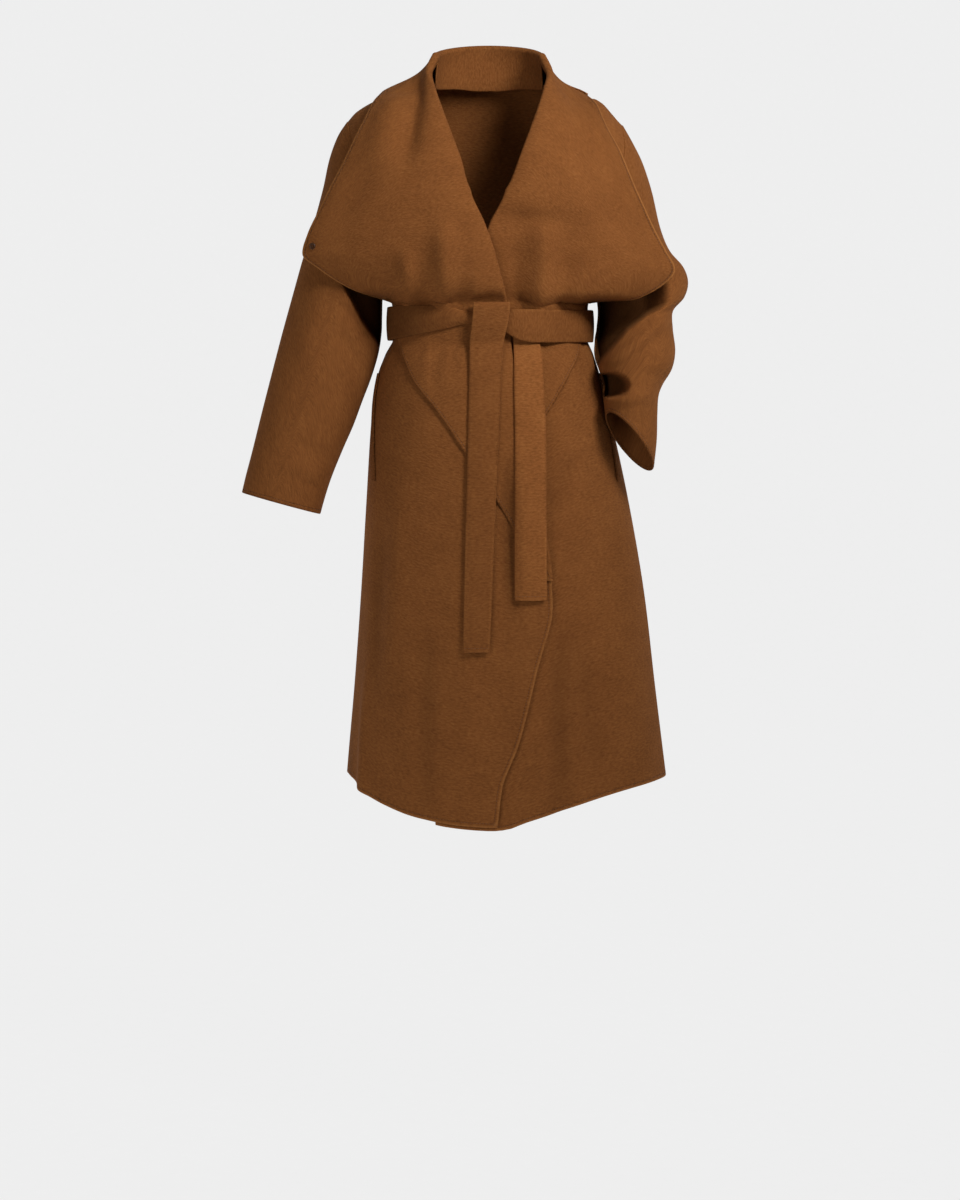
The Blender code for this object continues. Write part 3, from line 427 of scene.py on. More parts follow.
# First the right lapel: the hollow beside its roll, and the folds that rise from the belt. Then,
# from the seventh row, the left one: a deep hollow by the crossing, and flat folds beyond it.
LAPEL_CREASES = table("""
side* x0 z0 x1 z1 bow width depth
-1 -102 60 -124 -140 -4 17 -13
-1 -140 20 -166 -150 -4 19 5
-1 -64 -350 -66 -205 3 16.5 14
-1 -116 -338 -120 -245 3 11.5 9
-1 -16 -400 -22 -255 2 14 4
-1 -160 -120 -220 -250 8 22 -4.4
-1 76 -372 80 -190 -3 21 17
-1 34 -400 36 -225 0 12 -4
-1 118 -400 142 -240 -3 16 4
-1 108 40 132 -140 -6 15 -5
-1 160 -160 210 -262 -6 21 -4
""")
# First the left sleeve: the fold in front of its upper hollow, and the bent elbow. Then the right
# one: drawn from the underarm, then long and easy to its cuff.
SLEEVE_CREASES = table("""
side* x0 z0 x1 z1 bow width depth
-1 132 -436 280 -322 3 10 12
-1 206 -428 262 -436 -6 10 -3
-1 160 -459 240 -448 6 9 7
-1 222 -352 270 -392 4 12 -3.4
-1 190 -500 236 -470 4 10 -3
-1 214 -130 240 -230 4 12 -3
1 160 -352 250 -300 6 12 -9
1 158 -392 262 -345 6 11 -10
1 170 -372 262 -322 6 13 6
1 170 -436 246 -420 4 10 -8
1 164 -250 216 -180 8 14 -6
1 190 -480 232 -520 4 12 3
-1 -166 -392 -212 -318 6 12 -10
-1 -176 -366 -222 -306 6 12 5.6
-1 -186 -432 -218 -360 5 12 -4.6
-1 -262 -300 -292 -420 8 19 -3.6
-1 -238 -300 -268 -430 6 20 3.4
-1 -222 -560 -296 -520 6 12 -3.6
-1 -236 -582 -300 -556 6 11 2.6
-1 -244 -602 -268 -578 3 6 -2.6
-1 -300 -430 -330 -540 6 15 -2.6
1 -166 -392 -224 -300 8 13 -9
1 -184 -420 -250 -340 8 14 5
1 -200 -470 -262 -400 8 15 -5
1 -300 -420 -330 -560 8 18 3.4
1 -236 -560 -300 -520 6 13 -3.4
1 -230 -240 -200 -140 6 14 -4
""")
# Two folds beside sharp hollows of the sleeves: over the left elbow, and inside the right arm.
LEFT_FOLD = table("""
x z
150 -428
172 -399
198 -367
227 -344
262 -328
""")
RIGHT_FOLD = table("""
z x
-420 -142
-380 -167
-345 -190
-305 -208
-280 -218
""")
HOLLOW_DEPTHS = (0.060, 0.050, 0.040)  # the left elbow's two hollows, and the right arm's
HOLLOW_LIMIT = 0.8  # share of the sleeve's depth behind its middle that a hollow reaches
UPPER_RIM = (0.001, 0.010)  # heights over the fold where the left elbow's upper hollow starts
UPPER_OUT, UPPER_TOP = (0.226, 0.262), (-0.300, -0.262)  # reach and height where it ends
LOWER_HOLLOW = (0.170, -0.441, 0.030, 0.019)  # x, z and half sizes of the lower one
LOWER_RIM = (0.70, 1.10)  # shares of them over which it ends
INNER_RIM = 0.007  # width over which the right arm's one starts beside its fold
INNER_TOP, INNER_FOOT = (-0.290, -0.250), (-0.44, -0.38)
SLEEVE_HELD = (0.04, 0.012)  # lengths at the armhole and the cuff that are kept from creases
SLEEVE_FACING = (0.02, 0.32)  # how squarely its cloth has to face forward or back to be creased
LAPEL_FROM, LAPEL_RAISED = (0.02, 0.25), (0.05, 0.5)  # shares of a lapel where creases start
LAPEL_LYING, LAPEL_TOP = (-0.19, -0.165), (0.6, 0.97)  # levels where ridges start and all end
# Reach and height of the snap's outline, from the top of its centre to the foot of its rim.
SNAP_PROFILE = table("""
reach height
0 1.9
0.6 1.82
1.15 1.4
1.65 0.72
2 0.62
2.4 0.7
2.85 1.2
3.3 1.65
3.8 1.86
4.3 1.78
4.75 1.42
5.05 0.9
5.15 0.4
5 0
""")

# Numbers of steps in the grids, along their rows and columns.
PANEL_COLUMNS, ROLL_STEPS, LAPEL_COLUMNS = 56, 10, 58
ROW_HEIGHTS = (HEM, HEM + 0.012, BREAK, -0.400, -0.300, CHEST)  # closest where lapels pass the belt
ROW_STEPS = (5, 52, 56, 30, 26)  # between these heights
SHOULDER_ROWS = 45
BACK_COLUMNS = 104
COLLAR_GRID = (132, 10, 12, 34)
SLEEVE_ROWS, SLEEVE_COLUMNS = 149, 132
BELT_GRID, LONG_GRID, SHORT_GRID = (420, 14), (150, 14, 14), (130, 14)
KNOT_GRID, WELT_GRID = (40, 48), (40, 8)
ROUND_STEPS = 4  # round a cloth's rim
SNAP_SIDES = 48

FAR = 0.1  # what a point's distance to a finished edge is cut off at
EDGE_INSET = 0.0045  # of the edge stitching from a finished edge
# Between these heights the finished edges get painted shade in place of the painted rim highlight.
PRESSED_FROM, PRESSED_TO = (-0.66, -0.60), (-0.40, -0.37)  # heights of the pressed lapel ends
# Below these heights the painted rim highlight and the painted groove shade are at half strength.
LAPELS_FROM = (-0.36, -0.30)  # heights over which the lapels' stitched edges begin to stand out
FOLD_SHADE = 45.0  # share of the hollows' shade for each metre that a fold of the skirt sinks
OVERHUNG_SHADE = 0.45  # that share where the right lapel overhangs the belt
FOLD_SHADE_MOST, FOLD_SHADE_TOP = 0.5, (-0.50, -0.42)  # its limit, and where it ends
OVERHUNG_FROM = (-0.12, -0.04)  # reach over which that shade ends
# Painted light on the short end and painted shade on the belt and the long end: each piece is drawn at
# this share of the coat's own colour to match how brightly it is lit.
BELT_PAINTED_LIGHT = {"belt": 0.93, "tail_long": 0.95, "tail_short": 1.22}  # of the coat's own colour


# ---------------- curves and tables


def read(rows, at, *names):
    """Columns of a table at these values of its first one.

    Each is a monotone cubic through the rows, flat where they turn back.
    """
    keys = next(iter(rows.values()))
    step = np.diff(keys)
    at = np.clip(at, keys[0], keys[-1])
    i = np.clip(np.searchsorted(keys, at) - 1, 0, len(step) - 1)
    t = (at - keys[i]) / step[i]
    found = []
    for values in (rows[name] for name in names):
        rate = np.diff(values) / step
        both = rate[:-1] * rate[1:]
        total = np.where(both > 0, rate[:-1] + rate[1:], 1)
        slope = np.concatenate([rate[:1], np.where(both > 0, 2 * both / total, 0), rate[-1:]])
        found.append(
            values[i] * (1 + 2 * t) * (1 - t) ** 2
            + values[i + 1] * t * t * (3 - 2 * t)
            + step[i] * t * (1 - t) * (slope[i] * (1 - t) - slope[i + 1] * t)
        )
    return found if len(names) > 1 else found[0]


def ease(value, low, high):
    """0 below low, 1 above high, and a smooth step between."""
    t = np.clip((value - low) / (high - low), 0, 1)
    return t * t * (3 - 2 * t)


def shares(steps):
    """From 0 to 1 in this many even steps."""
    return np.linspace(0, 1, steps + 1)


def unit(vectors):
    return vectors / np.linalg.norm(vectors, axis=-1, keepdims=True)


def stack(*coordinates):
    return np.stack(np.broadcast_arrays(*coordinates), axis=-1)


def patch(start, start_run, end, end_run, share):
    """Cubic curves from each start to its end, which leave and arrive with these runs."""
    t = share.reshape(1, -1, 1)
    return (
        start[:, None] * ((1 + 2 * t) * (1 - t) ** 2)
        + start_run[:, None] * (t * (1 - t) ** 2)
        + end[:, None] * (t * t * (3 - 2 * t))
        - end_run[:, None] * (t * t * (1 - t))
    )


def bump(angle, place, width):
    """exp(-(d / width)^2) at d degrees round the body from a place."""
    away = (angle - place + 180) % 360 - 180
    return np.exp(-((away / width) ** 2))


# ---------------- the body under the cloth


def ring(z):
    """Centre, half width, front depth and back depth of the body's ring at a height."""
    left, right, front, back = read(BODY, z, "left", "right", "front", "back")
    return (right - left) / 2, (right + left) / 2, front, back


def ring_depth(u):
    """Depth v of a ring at reach u, both as shares of its half sizes: u^p + v^p = 1."""
    return (1 - u**RING_POWER) ** (1 / RING_POWER)


def round_body(angle, level):
    """Reach at an angle round the body's ring: 0 in front, a quarter turn at the coat's left."""
    centre, half, _, _ = ring(body_height(level))
    sine = np.sin(angle)
    return centre + half * np.sign(sine) * np.abs(sine) ** (2 / RING_POWER)


def shoulder_height(x):
    return read(SHOULDER, np.abs(x), "z")


def fold_depth(angle, z):
    """How far the skirt's folds stand out at this angle, in degrees, and height."""
    return sum(
        depth * bump(angle, place, width) * ease(-z, -top, -HEM)
        for place, width, depth, top in zip(*FOLDS.values())
    )


def crease_strength():
    return bpy.context.scene.coat_sizes.crease


def creases(rows, x, z, side):
    """Sum of a table's creases at points that are seen from the front (side -1) or the back (1).

    Each is depth * exp(-(d / width)^2), d being the distance from a line that runs from the
    row's first point to its second and bows sideways as bow * 4 s (1 - s) at share s of its
    length, and it fades out over the last third towards either end.
    """
    total = 0
    for seen, x0, z0, x1, z1, bow, width, depth in zip(*rows.values()):
        run = np.array([x1 - x0, z1 - z0])
        length = np.hypot(*run)
        run = run / length
        s = ((x - x0) * run[0] + (z - z0) * run[1]) / length
        aside = (x - x0) * run[1] - (z - z0) * run[0]
        held = np.clip(s, 0, 1)
        d = np.hypot(aside - bow * 4 * held * (1 - held), (s - held) * length)
        fade = ease(s, *CREASE_STARTS) * (1 - ease(s, *CREASE_ENDS))
        total = total + depth * np.exp(-((d / width) ** 2)) * fade * (np.sign(side) == seen)
    return total


def gathers(angle, z):
    """Gathers above and below the belt: Gaussians round the body that fade over their lengths."""
    above, below = np.maximum(z - DRAWN_TOP, 0), np.maximum(DRAWN_FOOT - z, 0)
    started = ease(above + below, 0.0, DRAWN_STARTS)
    total = 0
    for place, width, depth, up, down in zip(*GATHERS.values()):
        size = started * np.exp(-((above / up + below / down) ** DRAWN_FORM))
        total = total + depth * bump(angle, place, width) * size
    return total


def body_height(level):
    return CHEST + np.minimum(level, 0)


def hem_dip(u, v, across, side):
    """How far the hem hangs below its side seams: rounded on the right front, straight on the left."""
    front = np.where(across < 0, v**HEM_ROUND, (1 - u**2) * (1 - u) ** HEM_STRAIGHT)
    return np.where(side < 0, HEM_DIP_FRONT * front, HEM_DIP_BACK * v**2)


def on_body(x, level, side, lift=0.0):
    """The point of the body at a reach and level, on its front (side -1) or back (1).

    Up to the chest it lies on a ring, whose depth is a superellipse of the reach. Above, it
    follows a quarter turn from that depth to the shoulder line. The skirt's folds and the hem's
    dip come last. Lift moves it out along the ring's normal, which leans up over the shoulder.
    """
    z = body_height(level)
    centre, half, front, back = ring(z)
    depth = np.where(side < 0, front, back)
    u = np.clip(np.abs(x - centre) / half, 0, 1)
    v = ring_depth(u)
    dome = np.where(side < 0, FRONT_DOME, BACK_DOME)
    turn = np.clip(level, 0, 1) * math.pi / 2
    lean = np.abs(np.cos(turn)) ** (2 / dome)
    climb = np.sin(turn) ** (2 / dome)
    y = side * depth * v * lean + SHOULDER_Y * (1 - lean) * (level > 0)
    angle = np.degrees(np.arctan2((x - centre) / half, -side * v))
    dip = hem_dip(u, v, x - centre, side) * ease(-z, -DIP_TOP, -HEM)
    out = unit(
        stack(
            np.sign(x - centre) * u ** (RING_POWER - 1) / half * np.cos(turn),
            side * (v + TINY) ** (RING_POWER - 1) / depth * np.cos(turn),
            np.sin(turn) / SHOULDER_LEAN,
        )
    )
    place = stack(x, y, z + (shoulder_height(x) - CHEST) * climb - dip)
    creased = creases(BODY_CREASES, place[..., 0], place[..., 2], side) * ease(v, *SIDE_FADE)
    worn = fold_depth(angle, z) + crease_strength() * (gathers(angle, z) + creased)
    return place + out * (lift + worn)[..., None]


def outward(x, level, side):
    return unit(on_body(x, level, side, 0.01) - on_body(x, level, side))


def depth_at(x, z, side):
    """The body's y at a reach and height, on its front or back."""
    centre, half, front, back = ring(np.minimum(z, CHEST))
    depth = np.where(side < 0, front, back)
    v = ring_depth(np.clip(np.abs(x - centre) / half, 0, 1))
    dome = np.where(side < 0, FRONT_DOME, BACK_DOME)
    climb = np.clip((z - CHEST) / (shoulder_height(x) - CHEST), 0, 1)
    lean = (1 - climb**dome) ** (1 / dome)
    return side * depth * v * lean + SHOULDER_Y * (1 - lean) * (z > CHEST)


def armhole_reach(z):
    (top_x, top_z), (foot_x, foot_z) = ARMHOLE_TOP, ARMHOLE_FOOT
    return foot_x + (z - foot_z) * (top_x - foot_x) / (top_z - foot_z)


def outer_reach(level, hand, side):
    """Reach of a panel's outer edge: the side seam, then the armhole."""
    z = body_height(level)
    centre, half, _, _ = ring(z)
    seam = half + hand * centre
    reach = armhole_reach(z)
    dome = FRONT_DOME if side < 0 else BACK_DOME
    climb = np.sin(np.clip(level, 0, 1) * math.pi / 2) ** (2 / dome)
    for _ in range(20):
        reach = armhole_reach(z + (shoulder_height(reach) - CHEST) * climb)
    return np.where(z <= UNDERARM + TINY, seam, reach)


def between(outer, inner, level, share):
    """x from outer to inner, spaced evenly by angle round the body's ring."""
    centre, half, _, _ = ring(body_height(level))

    def angle(x):
        u = np.clip((x - centre) / half, -1, 1)
        return np.arcsin(np.sign(u) * np.abs(u) ** (RING_POWER / 2))

    return round_body(angle(outer) + (angle(inner) - angle(outer)) * share, level)


def panel_lift(hand, x, level):
    """How far a front lies off the body: the right one passes over the left one's two layers."""
    over = ease(-level, *CHEST_LEVELS) * CHEST_SHARE + (1 - CHEST_SHARE) * ease(-level, -1, 0)
    return (hand < 0) * 2 * LAYER * ease(x, *RIGHT_OVER) * over


def settled(points):
    """The points with the coat's left shoulder carried a little nearer the neck and lower."""
    x, z = points[..., 0], points[..., 2]
    near = LEFT_IN * ease(x, *LEFT_IN_X) * ease(z, *LEFT_IN_Z)
    starts, ends = LEFT_KEPT_X
    spared = LEFT_KEPT * ease(x, *starts) * (1 - ease(x, *ends))
    down = LEFT_DOWN * ease(x, *LEFT_DOWN_X) * (1 - spared) * ease(z, *LEFT_DOWN_Z)
    return points - stack(near, 0 * x, down)


def seam_room(level):
    """Half of the gap along the side seam, wider at its top, where the armhole starts."""
    above = body_height(level) - UNDERARM
    wider = SEAM_WIDER * SEAM * np.exp(-((above / SEAM_OVER) ** 2))
    return np.where(above > TINY, 0, SEAM / 2 + wider)


# ---------------- the pieces as grids of points


def rolled(start, run, out, radius, angle):
    """Arcs that leave each start along its run and turn towards out, and where they point last."""
    turn = (
        start[:, None]
        + out[:, None] * (radius * (1 - np.cos(angle)))[..., None]
        + run[:, None] * (radius * np.sin(angle))[..., None]
    )
    return turn, run * np.cos(angle[:, -1:]) + out * np.sin(angle[:, -1:])


def hung(start, leave, edge, back, runs, share, sag):
    """Cubic curves from a roll to the edge that hangs free, where they arrive bent by back.

    Each sinks by sag * 6.75 s (1 - s)^2 at share s of its way, most a third of the way along.
    """
    chord = edge - start
    span = np.linalg.norm(chord, axis=-1, keepdims=True)
    arrive = unit(unit(chord) + back)
    free = patch(start, leave * span * runs[0], edge, arrive * span * runs[1], share)
    free[..., 2] -= SAG_FORM * share * (1 - share) ** 2 * sag
    return free


def front_grid(hand, levels):
    """Points of one front: a row for each level, from its outer edge over the roll to the lapel.

    hand is -1 for the coat's right front and 1 for its left. A row has the panel's columns, the
    steps of the roll, and the lapel's columns.
    """
    level = levels[:, None]
    height = body_height(level)
    row = {name: read(LAPELS[hand], level, name) for name in LAPELS[hand]}
    low = height < BREAK - TINY
    roll = hand * np.where(low, read(EDGES[hand], height, "reach"), row["roll"])

    # The panel lies on the body, and its last columns rise into the stand of the neck.
    outer = hand * outer_reach(level, hand, -1)
    x = between(outer, roll, level, shares(PANEL_COLUMNS)[None])
    x[:, :1] = outer
    panel = on_body(x, level, -1.0, panel_lift(hand, x, level))
    end = panel[:, -1] + row["rise"] * UP
    lean = ease(row["rise"], 0, STAND_RISE)
    rise, inset = STAND_LEAN
    run = unit(panel[:, -1] - panel[:, -2]) * (1 - lean)
    run = unit(run + np.array([-inset * hand, 0, rise]) * lean)
    out = outward(roll, level, -1.0)[:, 0] * (1 - lean) + np.array([rise * hand, 0, inset]) * lean
    out = unit(out - (out * run).sum(-1, keepdims=True) * run)
    bent = panel[:, -1 - STAND_COLUMNS :]
    start_run = unit(bent[:, 0] - panel[:, -2 - STAND_COLUMNS])
    length = np.linalg.norm(end - bent[:, 0], axis=-1, keepdims=True)
    curve = patch(bent[:, 0], start_run * length, end, run * length, shares(STAND_COLUMNS))
    bent += (curve - bent) * lean[:, None]
    panel[:, 0, 1] -= seam_room(levels)

    # The roll is an arc from the panel's end.
    soft = row["soft"]
    radius = LAYER / 2 + (ROLL_RADIUS - LAYER / 2) * soft
    angle = np.radians(180 + (ROLL_TURN - 180) * soft) * shares(ROLL_STEPS)[None, 1:]
    turn, leave = rolled(end, run, out, radius, angle)

    # The lapel lies on its front below the belt's top, and hangs free to its edge above.
    share = shares(LAPEL_COLUMNS)[None, 1:]
    edge_x = hand * row["edge_x"]
    x = roll + (edge_x - roll) * share
    lying = on_body(x, level, -1.0, panel_lift(hand, x, level) + LAYER)
    edge = stack(edge_x, row["edge_y"], row["edge_z"])[:, 0]
    back = np.array(EDGE_BACK) * (1 - np.clip(level, 0, 1) ** 2)
    sag = SAG[hand] * ease(level, *SAG_LEVELS)
    free = hung(turn[:, -1], leave, edge, back, LAPEL_RUNS, share, sag)
    opened = ease(share, *LOOSE_FROM)
    loose = row["loose"] * (opened + (1 - opened) * ease(soft, *LOOSE_SOFT))
    lapel = lying + (free - lying) * loose[..., None]
    if hand > 0:
        under = ease(-panel[..., 0], *UNDER_FROM) * ease(-height, -DIP_TOP, -HEM)
        panel[..., 2] -= UNDER_HEM * under
    grid = np.concatenate([panel, turn, lapel], axis=1)
    grid[levels > 1 - TINY, :, 1] -= SEAM / 2
    return settled(grid)


def neckline(x):
    """Level over the shoulder where the back stops, on an oval behind the neck, at a reach."""
    _, half, _, back = ring(CHEST)
    behind = NECK_BACK * np.sqrt(np.clip(1 - (x / NECK_HALF) ** 2, 0, 1))
    depth = back * ring_depth(np.clip(np.abs(x) / half, 0, 1))
    return np.arccos(np.clip(behind / depth, 0, 1) ** (BACK_DOME / 2)) / (math.pi / 2)


def back_grid(levels):
    """Points of the back: rows from the hem to the shoulders and the neckline between them."""
    level = levels[:, None]
    left, right = outer_reach(level, 1, 1), outer_reach(level, -1, 1)
    share = shares(BACK_COLUMNS)[None]
    x = between(-right, left, level, share)
    x[:, :1], x[:, -1:] = -right, left
    # Above the chest a column keeps its share of the reach, and stops at the neckline.
    top_reach = left[-1, 0]
    across = 2 * np.abs(2 * share - 1)
    neck = NECK_HALF * np.sin(np.minimum(across, 1) * math.pi / 2)
    at_top = neck + (top_reach - NECK_HALF) * np.maximum(across - 1, 0)
    at_top = np.sign(share - 0.5) * at_top
    even = at_top * left / top_reach
    x = np.where(level > 0, even + (x - even) * ease(-level, -0.6, 0), x)
    held = np.where(level > 0, level * neckline(at_top), level)
    grid = on_body(x, held, 1.0)
    grid[:, [0, -1], 1] += seam_room(level)
    grid[-1, :, 1] += SEAM / 2
    return settled(grid)


def collar_grid(ribs, stand_steps, turn_steps, fall_columns):
    """Points of the collar: ribs round the back of the neck, each up the stand and down the fall."""
    round_neck = np.linspace(0, math.pi, ribs + 1)[:, None]
    side, behind = -np.cos(round_neck), np.sin(round_neck)
    mix = (1 - np.cos(round_neck)) / 2

    def ends(right, left):
        return right + (left - right) * mix

    edge_reach, roll, rise = (
        ends(LAPELS[-1][name][-1], LAPELS[1][name][-1]) for name in ("edge_x", "roll", "rise")
    )
    away = unit(stack(side, behind, 0 * side)[:, 0])
    edge_x = side * NECK_HALF
    foot = on_body(edge_x, neckline(edge_x), 1.0)[:, 0] - away * COLLAR_INSET - UP * COLLAR_SUNK
    top = stack(
        side * (roll - COLLAR_IN * behind),
        SHOULDER_Y + behind * (NECK_BACK - COLLAR_IN),
        rise + shoulder_height(NECK_HALF) + COLLAR_HIGHER * behind,
    )[:, 0]
    upward, inset = STAND_LEAN
    run, out = unit(UP * upward - away * inset), unit(away * upward + UP * inset)
    height = np.linalg.norm(top - foot, axis=-1, keepdims=True)
    stand = patch(foot, UP * height, top, run * height, shares(stand_steps))
    angle = math.radians(COLLAR_TURN) * shares(turn_steps)[None, 1:]
    turn, leave = rolled(top, run, out, ROLL_RADIUS, angle)
    edge = on_body(side * edge_reach, 1 - COLLAR_FALL * behind**COLLAR_ROUND, 1.0, COLLAR_CLEAR)[:, 0]
    back, sag = -UP * COLLAR_HANG * behind, ends(SAG[-1], SAG[1]) * side**2
    share = shares(fall_columns)[None, 1:]
    fall = hung(turn[:, -1], leave, edge, back, COLLAR_RUNS, share, sag)
    grid = np.concatenate([stand, turn, fall], axis=1)
    grid[[0, -1], :, 1] += COLLAR_SEAM
    return settled(grid)


def sleeve_rings(hand):
    """Rings of a sleeve: the armhole first, then a ring for each row of its table."""
    beta = np.linspace(0, 2 * math.pi, SLEEVE_COLUMNS, endpoint=False)
    cos, sin = np.cos(beta), np.sin(beta)
    low = (1 - cos) / 2
    top_z = shoulder_height(ARMHOLE_TOP[0]) + SLEEVE_RAISED
    z = top_z + (UNDERARM - top_z) * low
    reach = armhole_reach(z)
    side = np.where(sin >= -1e-9, -1.0, 1.0)
    armhole_y = np.where(
        np.abs(sin) < 1e-9, SHOULDER_Y * (1 - low), depth_at(hand * reach, z, side)
    )
    at_top, half_way, at_foot = ARMHOLE_CLEAR
    clear = at_top + half_way * 4 * low * (1 - low) + at_foot * low**6
    rings = [stack(hand * (reach + clear), armhole_y, z + FOOT_RAISED * low**6)]
    for i, section in enumerate(zip(*SLEEVES[hand].values())):
        outer_x, outer_z, inner_x, inner_z, depth, middle, drop = section
        kept = ARMHOLE_KEPT[i] if i < len(ARMHOLE_KEPT) else 0
        x = (outer_x + inner_x) / 2 + (outer_x - inner_x) / 2 * cos
        z = (outer_z + inner_z) / 2 + (outer_z - inner_z) / 2 * cos + drop * sin
        y = (middle - depth * sin) * (1 - kept) + armhole_y * kept
        rings.append(stack(hand * x, y, z))
    return settled(np.array(rings))


def belt_lift(angle, x):
    """Lift of the belt: over both fronts and lapels at the centre, and over one layer behind."""
    over = np.where(x < 0, ease(x, *RIGHT_OVER), ease(-x, *LEFT_OVER))
    front = 2 * LAYER * (1 + over) + BELT_ROOM
    behind = ease(np.abs(180 - np.degrees(angle)), *BELT_SIDES)
    return (LAYER + BELT_ROOM) * (1 - behind) + front * behind


def belt_grid(columns, rows):
    """The belt from the knot round the body and back to the knot, narrowed where it enters."""
    angle = np.radians(np.linspace(BELT_START, BELT_STOP, columns + 1))[:, None]
    share = shares(rows)[None]
    level = np.full((columns + 1, rows + 1), BELT_MIDDLE - CHEST)
    x = round_body(angle, level)
    side = np.where(np.cos(angle) > 0, -1.0, 1.0)
    over_end = ease(-x, *PASSED_FROM) * (side < 0) * (np.sin(angle) > 0)
    place = on_body(x, level, side, belt_lift(angle, x) + BELT_PASSED * over_end)

    def edge(name):
        """Across the front as in the table, and behind straight from one side to the other."""
        behind = np.interp(x, BELT_FRONT["x"][[0, -1]], BELT_FRONT[name][[0, -1]])
        return np.where(side < 0, read(BELT_FRONT, x, name), behind)

    place[..., 2] = edge("foot") + (edge("top") - edge("foot")) * share
    bow = edge("bow") * 4 * share * (1 - share)
    return place + outward(x, level, side) * bow[..., None]


def tail_grid(rows, columns, path):
    """A hanging end of the belt, from a table of its height, edges and lift."""
    foot, top = path["z"][[0, -1]]
    z = top - (top - foot) * np.linspace(1, 0, rows + 1)[:, None] ** ROWS_CLOSER
    left, right, lift = read(path, z, "left", "right", "lift")
    share = shares(columns)[None]
    bow = END_BOW * (1 - (2 * share - 1) ** 2)
    place = on_body(left + (right - left) * share, z - CHEST, -1.0, 4 * LAYER + lift + bow)
    place[..., 2] += HEM_DIP_FRONT * ease(-z, -DIP_TOP, -HEM)
    return place


def tail_long_grid(rows, columns, fold_rows):
    """The long end, which comes over the top of the knot and falls in front of it."""
    hanging = tail_grid(rows, columns, TAIL_LONG)
    x, y, z = np.moveaxis(hanging[-1:], -1, 0)
    angle = np.radians(END_FOLD_TURN * shares(fold_rows)[1:, None])
    over = stack(x, y + END_FOLD * (1 - np.cos(angle)), z + END_FOLD_RISE * np.sin(angle))
    return np.concatenate([hanging, over])


def knot_grid(stations, sides):
    """The knot's core: rings along its width, thickest in the middle."""
    station = np.linspace(-1, 1, stations)[:, None]
    beta = np.linspace(0, 2 * math.pi, sides, endpoint=False)[None]
    x = KNOT_X + KNOT_HALF * station + 0 * beta
    carrier = on_body(x, KNOT_Z - CHEST, -1.0, 4 * LAYER + KNOT_LIFT)[..., 1]
    size = np.sqrt(1 - np.abs(KNOT_ENDS * station) ** KNOT_ROUND)
    y = carrier - KNOT_DEPTH * size * np.sin(beta)
    return stack(x, y, KNOT_Z + KNOT_HEIGHT * size * np.cos(beta))


def welt_grid(hand, rows, columns):
    """A strip on the front beside the side seam, over the mouth of the pocket."""
    t = shares(rows)[:, None]
    level = WELT_TOP + (WELT_FOOT - WELT_TOP) * t - CHEST
    angle = np.radians(WELT_ANGLE - WELT_SLANT * t + WELT_WIDTH * shares(columns)[None])
    return on_body(round_body(hand * angle, level), level, -1.0, WELT_LIFT)


# ---------------- grids and meshes


def lengths(points, axis):
    """Arc length along the rows (axis 1) or columns (axis 0) of a grid, starting at 0."""
    step = np.linalg.norm(np.diff(points, axis=axis), axis=-1)
    first = np.zeros_like(np.take(step, [0], axis=axis))
    return np.concatenate([first, np.cumsum(step, axis=axis)], axis=axis)


def normals(points, closed=False):
    """Unit normals of a grid: the cross product of its central differences, columns by rows."""
    wide = np.concatenate([points[:, -1:], points, points[:, :1]], axis=1) if closed else points
    across = np.gradient(wide, axis=1)
    across = across[:, 1:-1] if closed else across
    return unit(np.cross(across, np.gradient(points, axis=0)) + 1e-12)


def spline_rows(points, samples):
    """Rows between the given ones: a Catmull-Rom curve through each column, at these row numbers."""
    last = len(points) - 1
    i = np.clip(np.floor(samples).astype(int), 0, last - 1)
    t = (samples - i)[:, None, None]
    before, here = points[np.maximum(i - 1, 0)], points[i]
    after, beyond = points[i + 1], points[np.minimum(i + 2, last)]
    return 0.5 * (
        2 * here
        + (after - before) * t
        + (2 * before - 5 * here + 4 * after - beyond) * t**2
        + (3 * here - before - 3 * after + beyond) * t**3
    )


def fine_levels():
    """Rows of the fronts and back: even steps between the heights, then over the shoulder."""
    stretches = zip(ROW_HEIGHTS, ROW_HEIGHTS[1:], ROW_STEPS)
    heights = [np.linspace(low, high, steps + 1)[1:] - CHEST for low, high, steps in stretches]
    return np.concatenate([[HEM - CHEST], *heights, shares(SHOULDER_ROWS)[1:]])


LEVELS = fine_levels()
BELOW = int(np.sum(body_height(LEVELS) < BREAK - TINY))  # rows of a front below its lapel


def quads_of(rows, columns, closed=False, dropped=None):
    """Corner indices of a grid's quads, and the same without joining its last column to its first.

    dropped is (rows, columns): the first quads of that many rows are left out past that column.
    """
    width = columns + 1 if closed else columns
    index = np.arange(rows * width).reshape(rows, width)
    flat = np.stack([index[:-1, :-1], index[:-1, 1:], index[1:, 1:], index[1:, :-1]], axis=-1)
    row, column = np.divmod(flat, width)
    joined = row * columns + column % columns
    keep = np.ones(flat.shape[:2], bool)
    if dropped:
        keep[: dropped[0], dropped[1] :] = False
    return joined[keep], flat[keep]


def crossed(points, quads):
    """The cross product of each quad's diagonals: twice its area, along its normal."""
    a, b, c, d = (points[quads[:, i]] for i in range(4))
    return np.cross(c - a, d - b)


def edge_loop(quads):
    """Directed edges that only one quad has, each with the number of that quad."""
    start = quads.ravel()
    end = np.roll(quads, -1, axis=1).ravel()
    owner = np.repeat(np.arange(len(quads)), 4)
    key = np.minimum(start, end) * (quads.max() + 1) + np.maximum(start, end)
    _, inverse, count = np.unique(key, return_inverse=True, return_counts=True)
    alone = count[inverse] == 1
    return start[alone], end[alone], owner[alone]


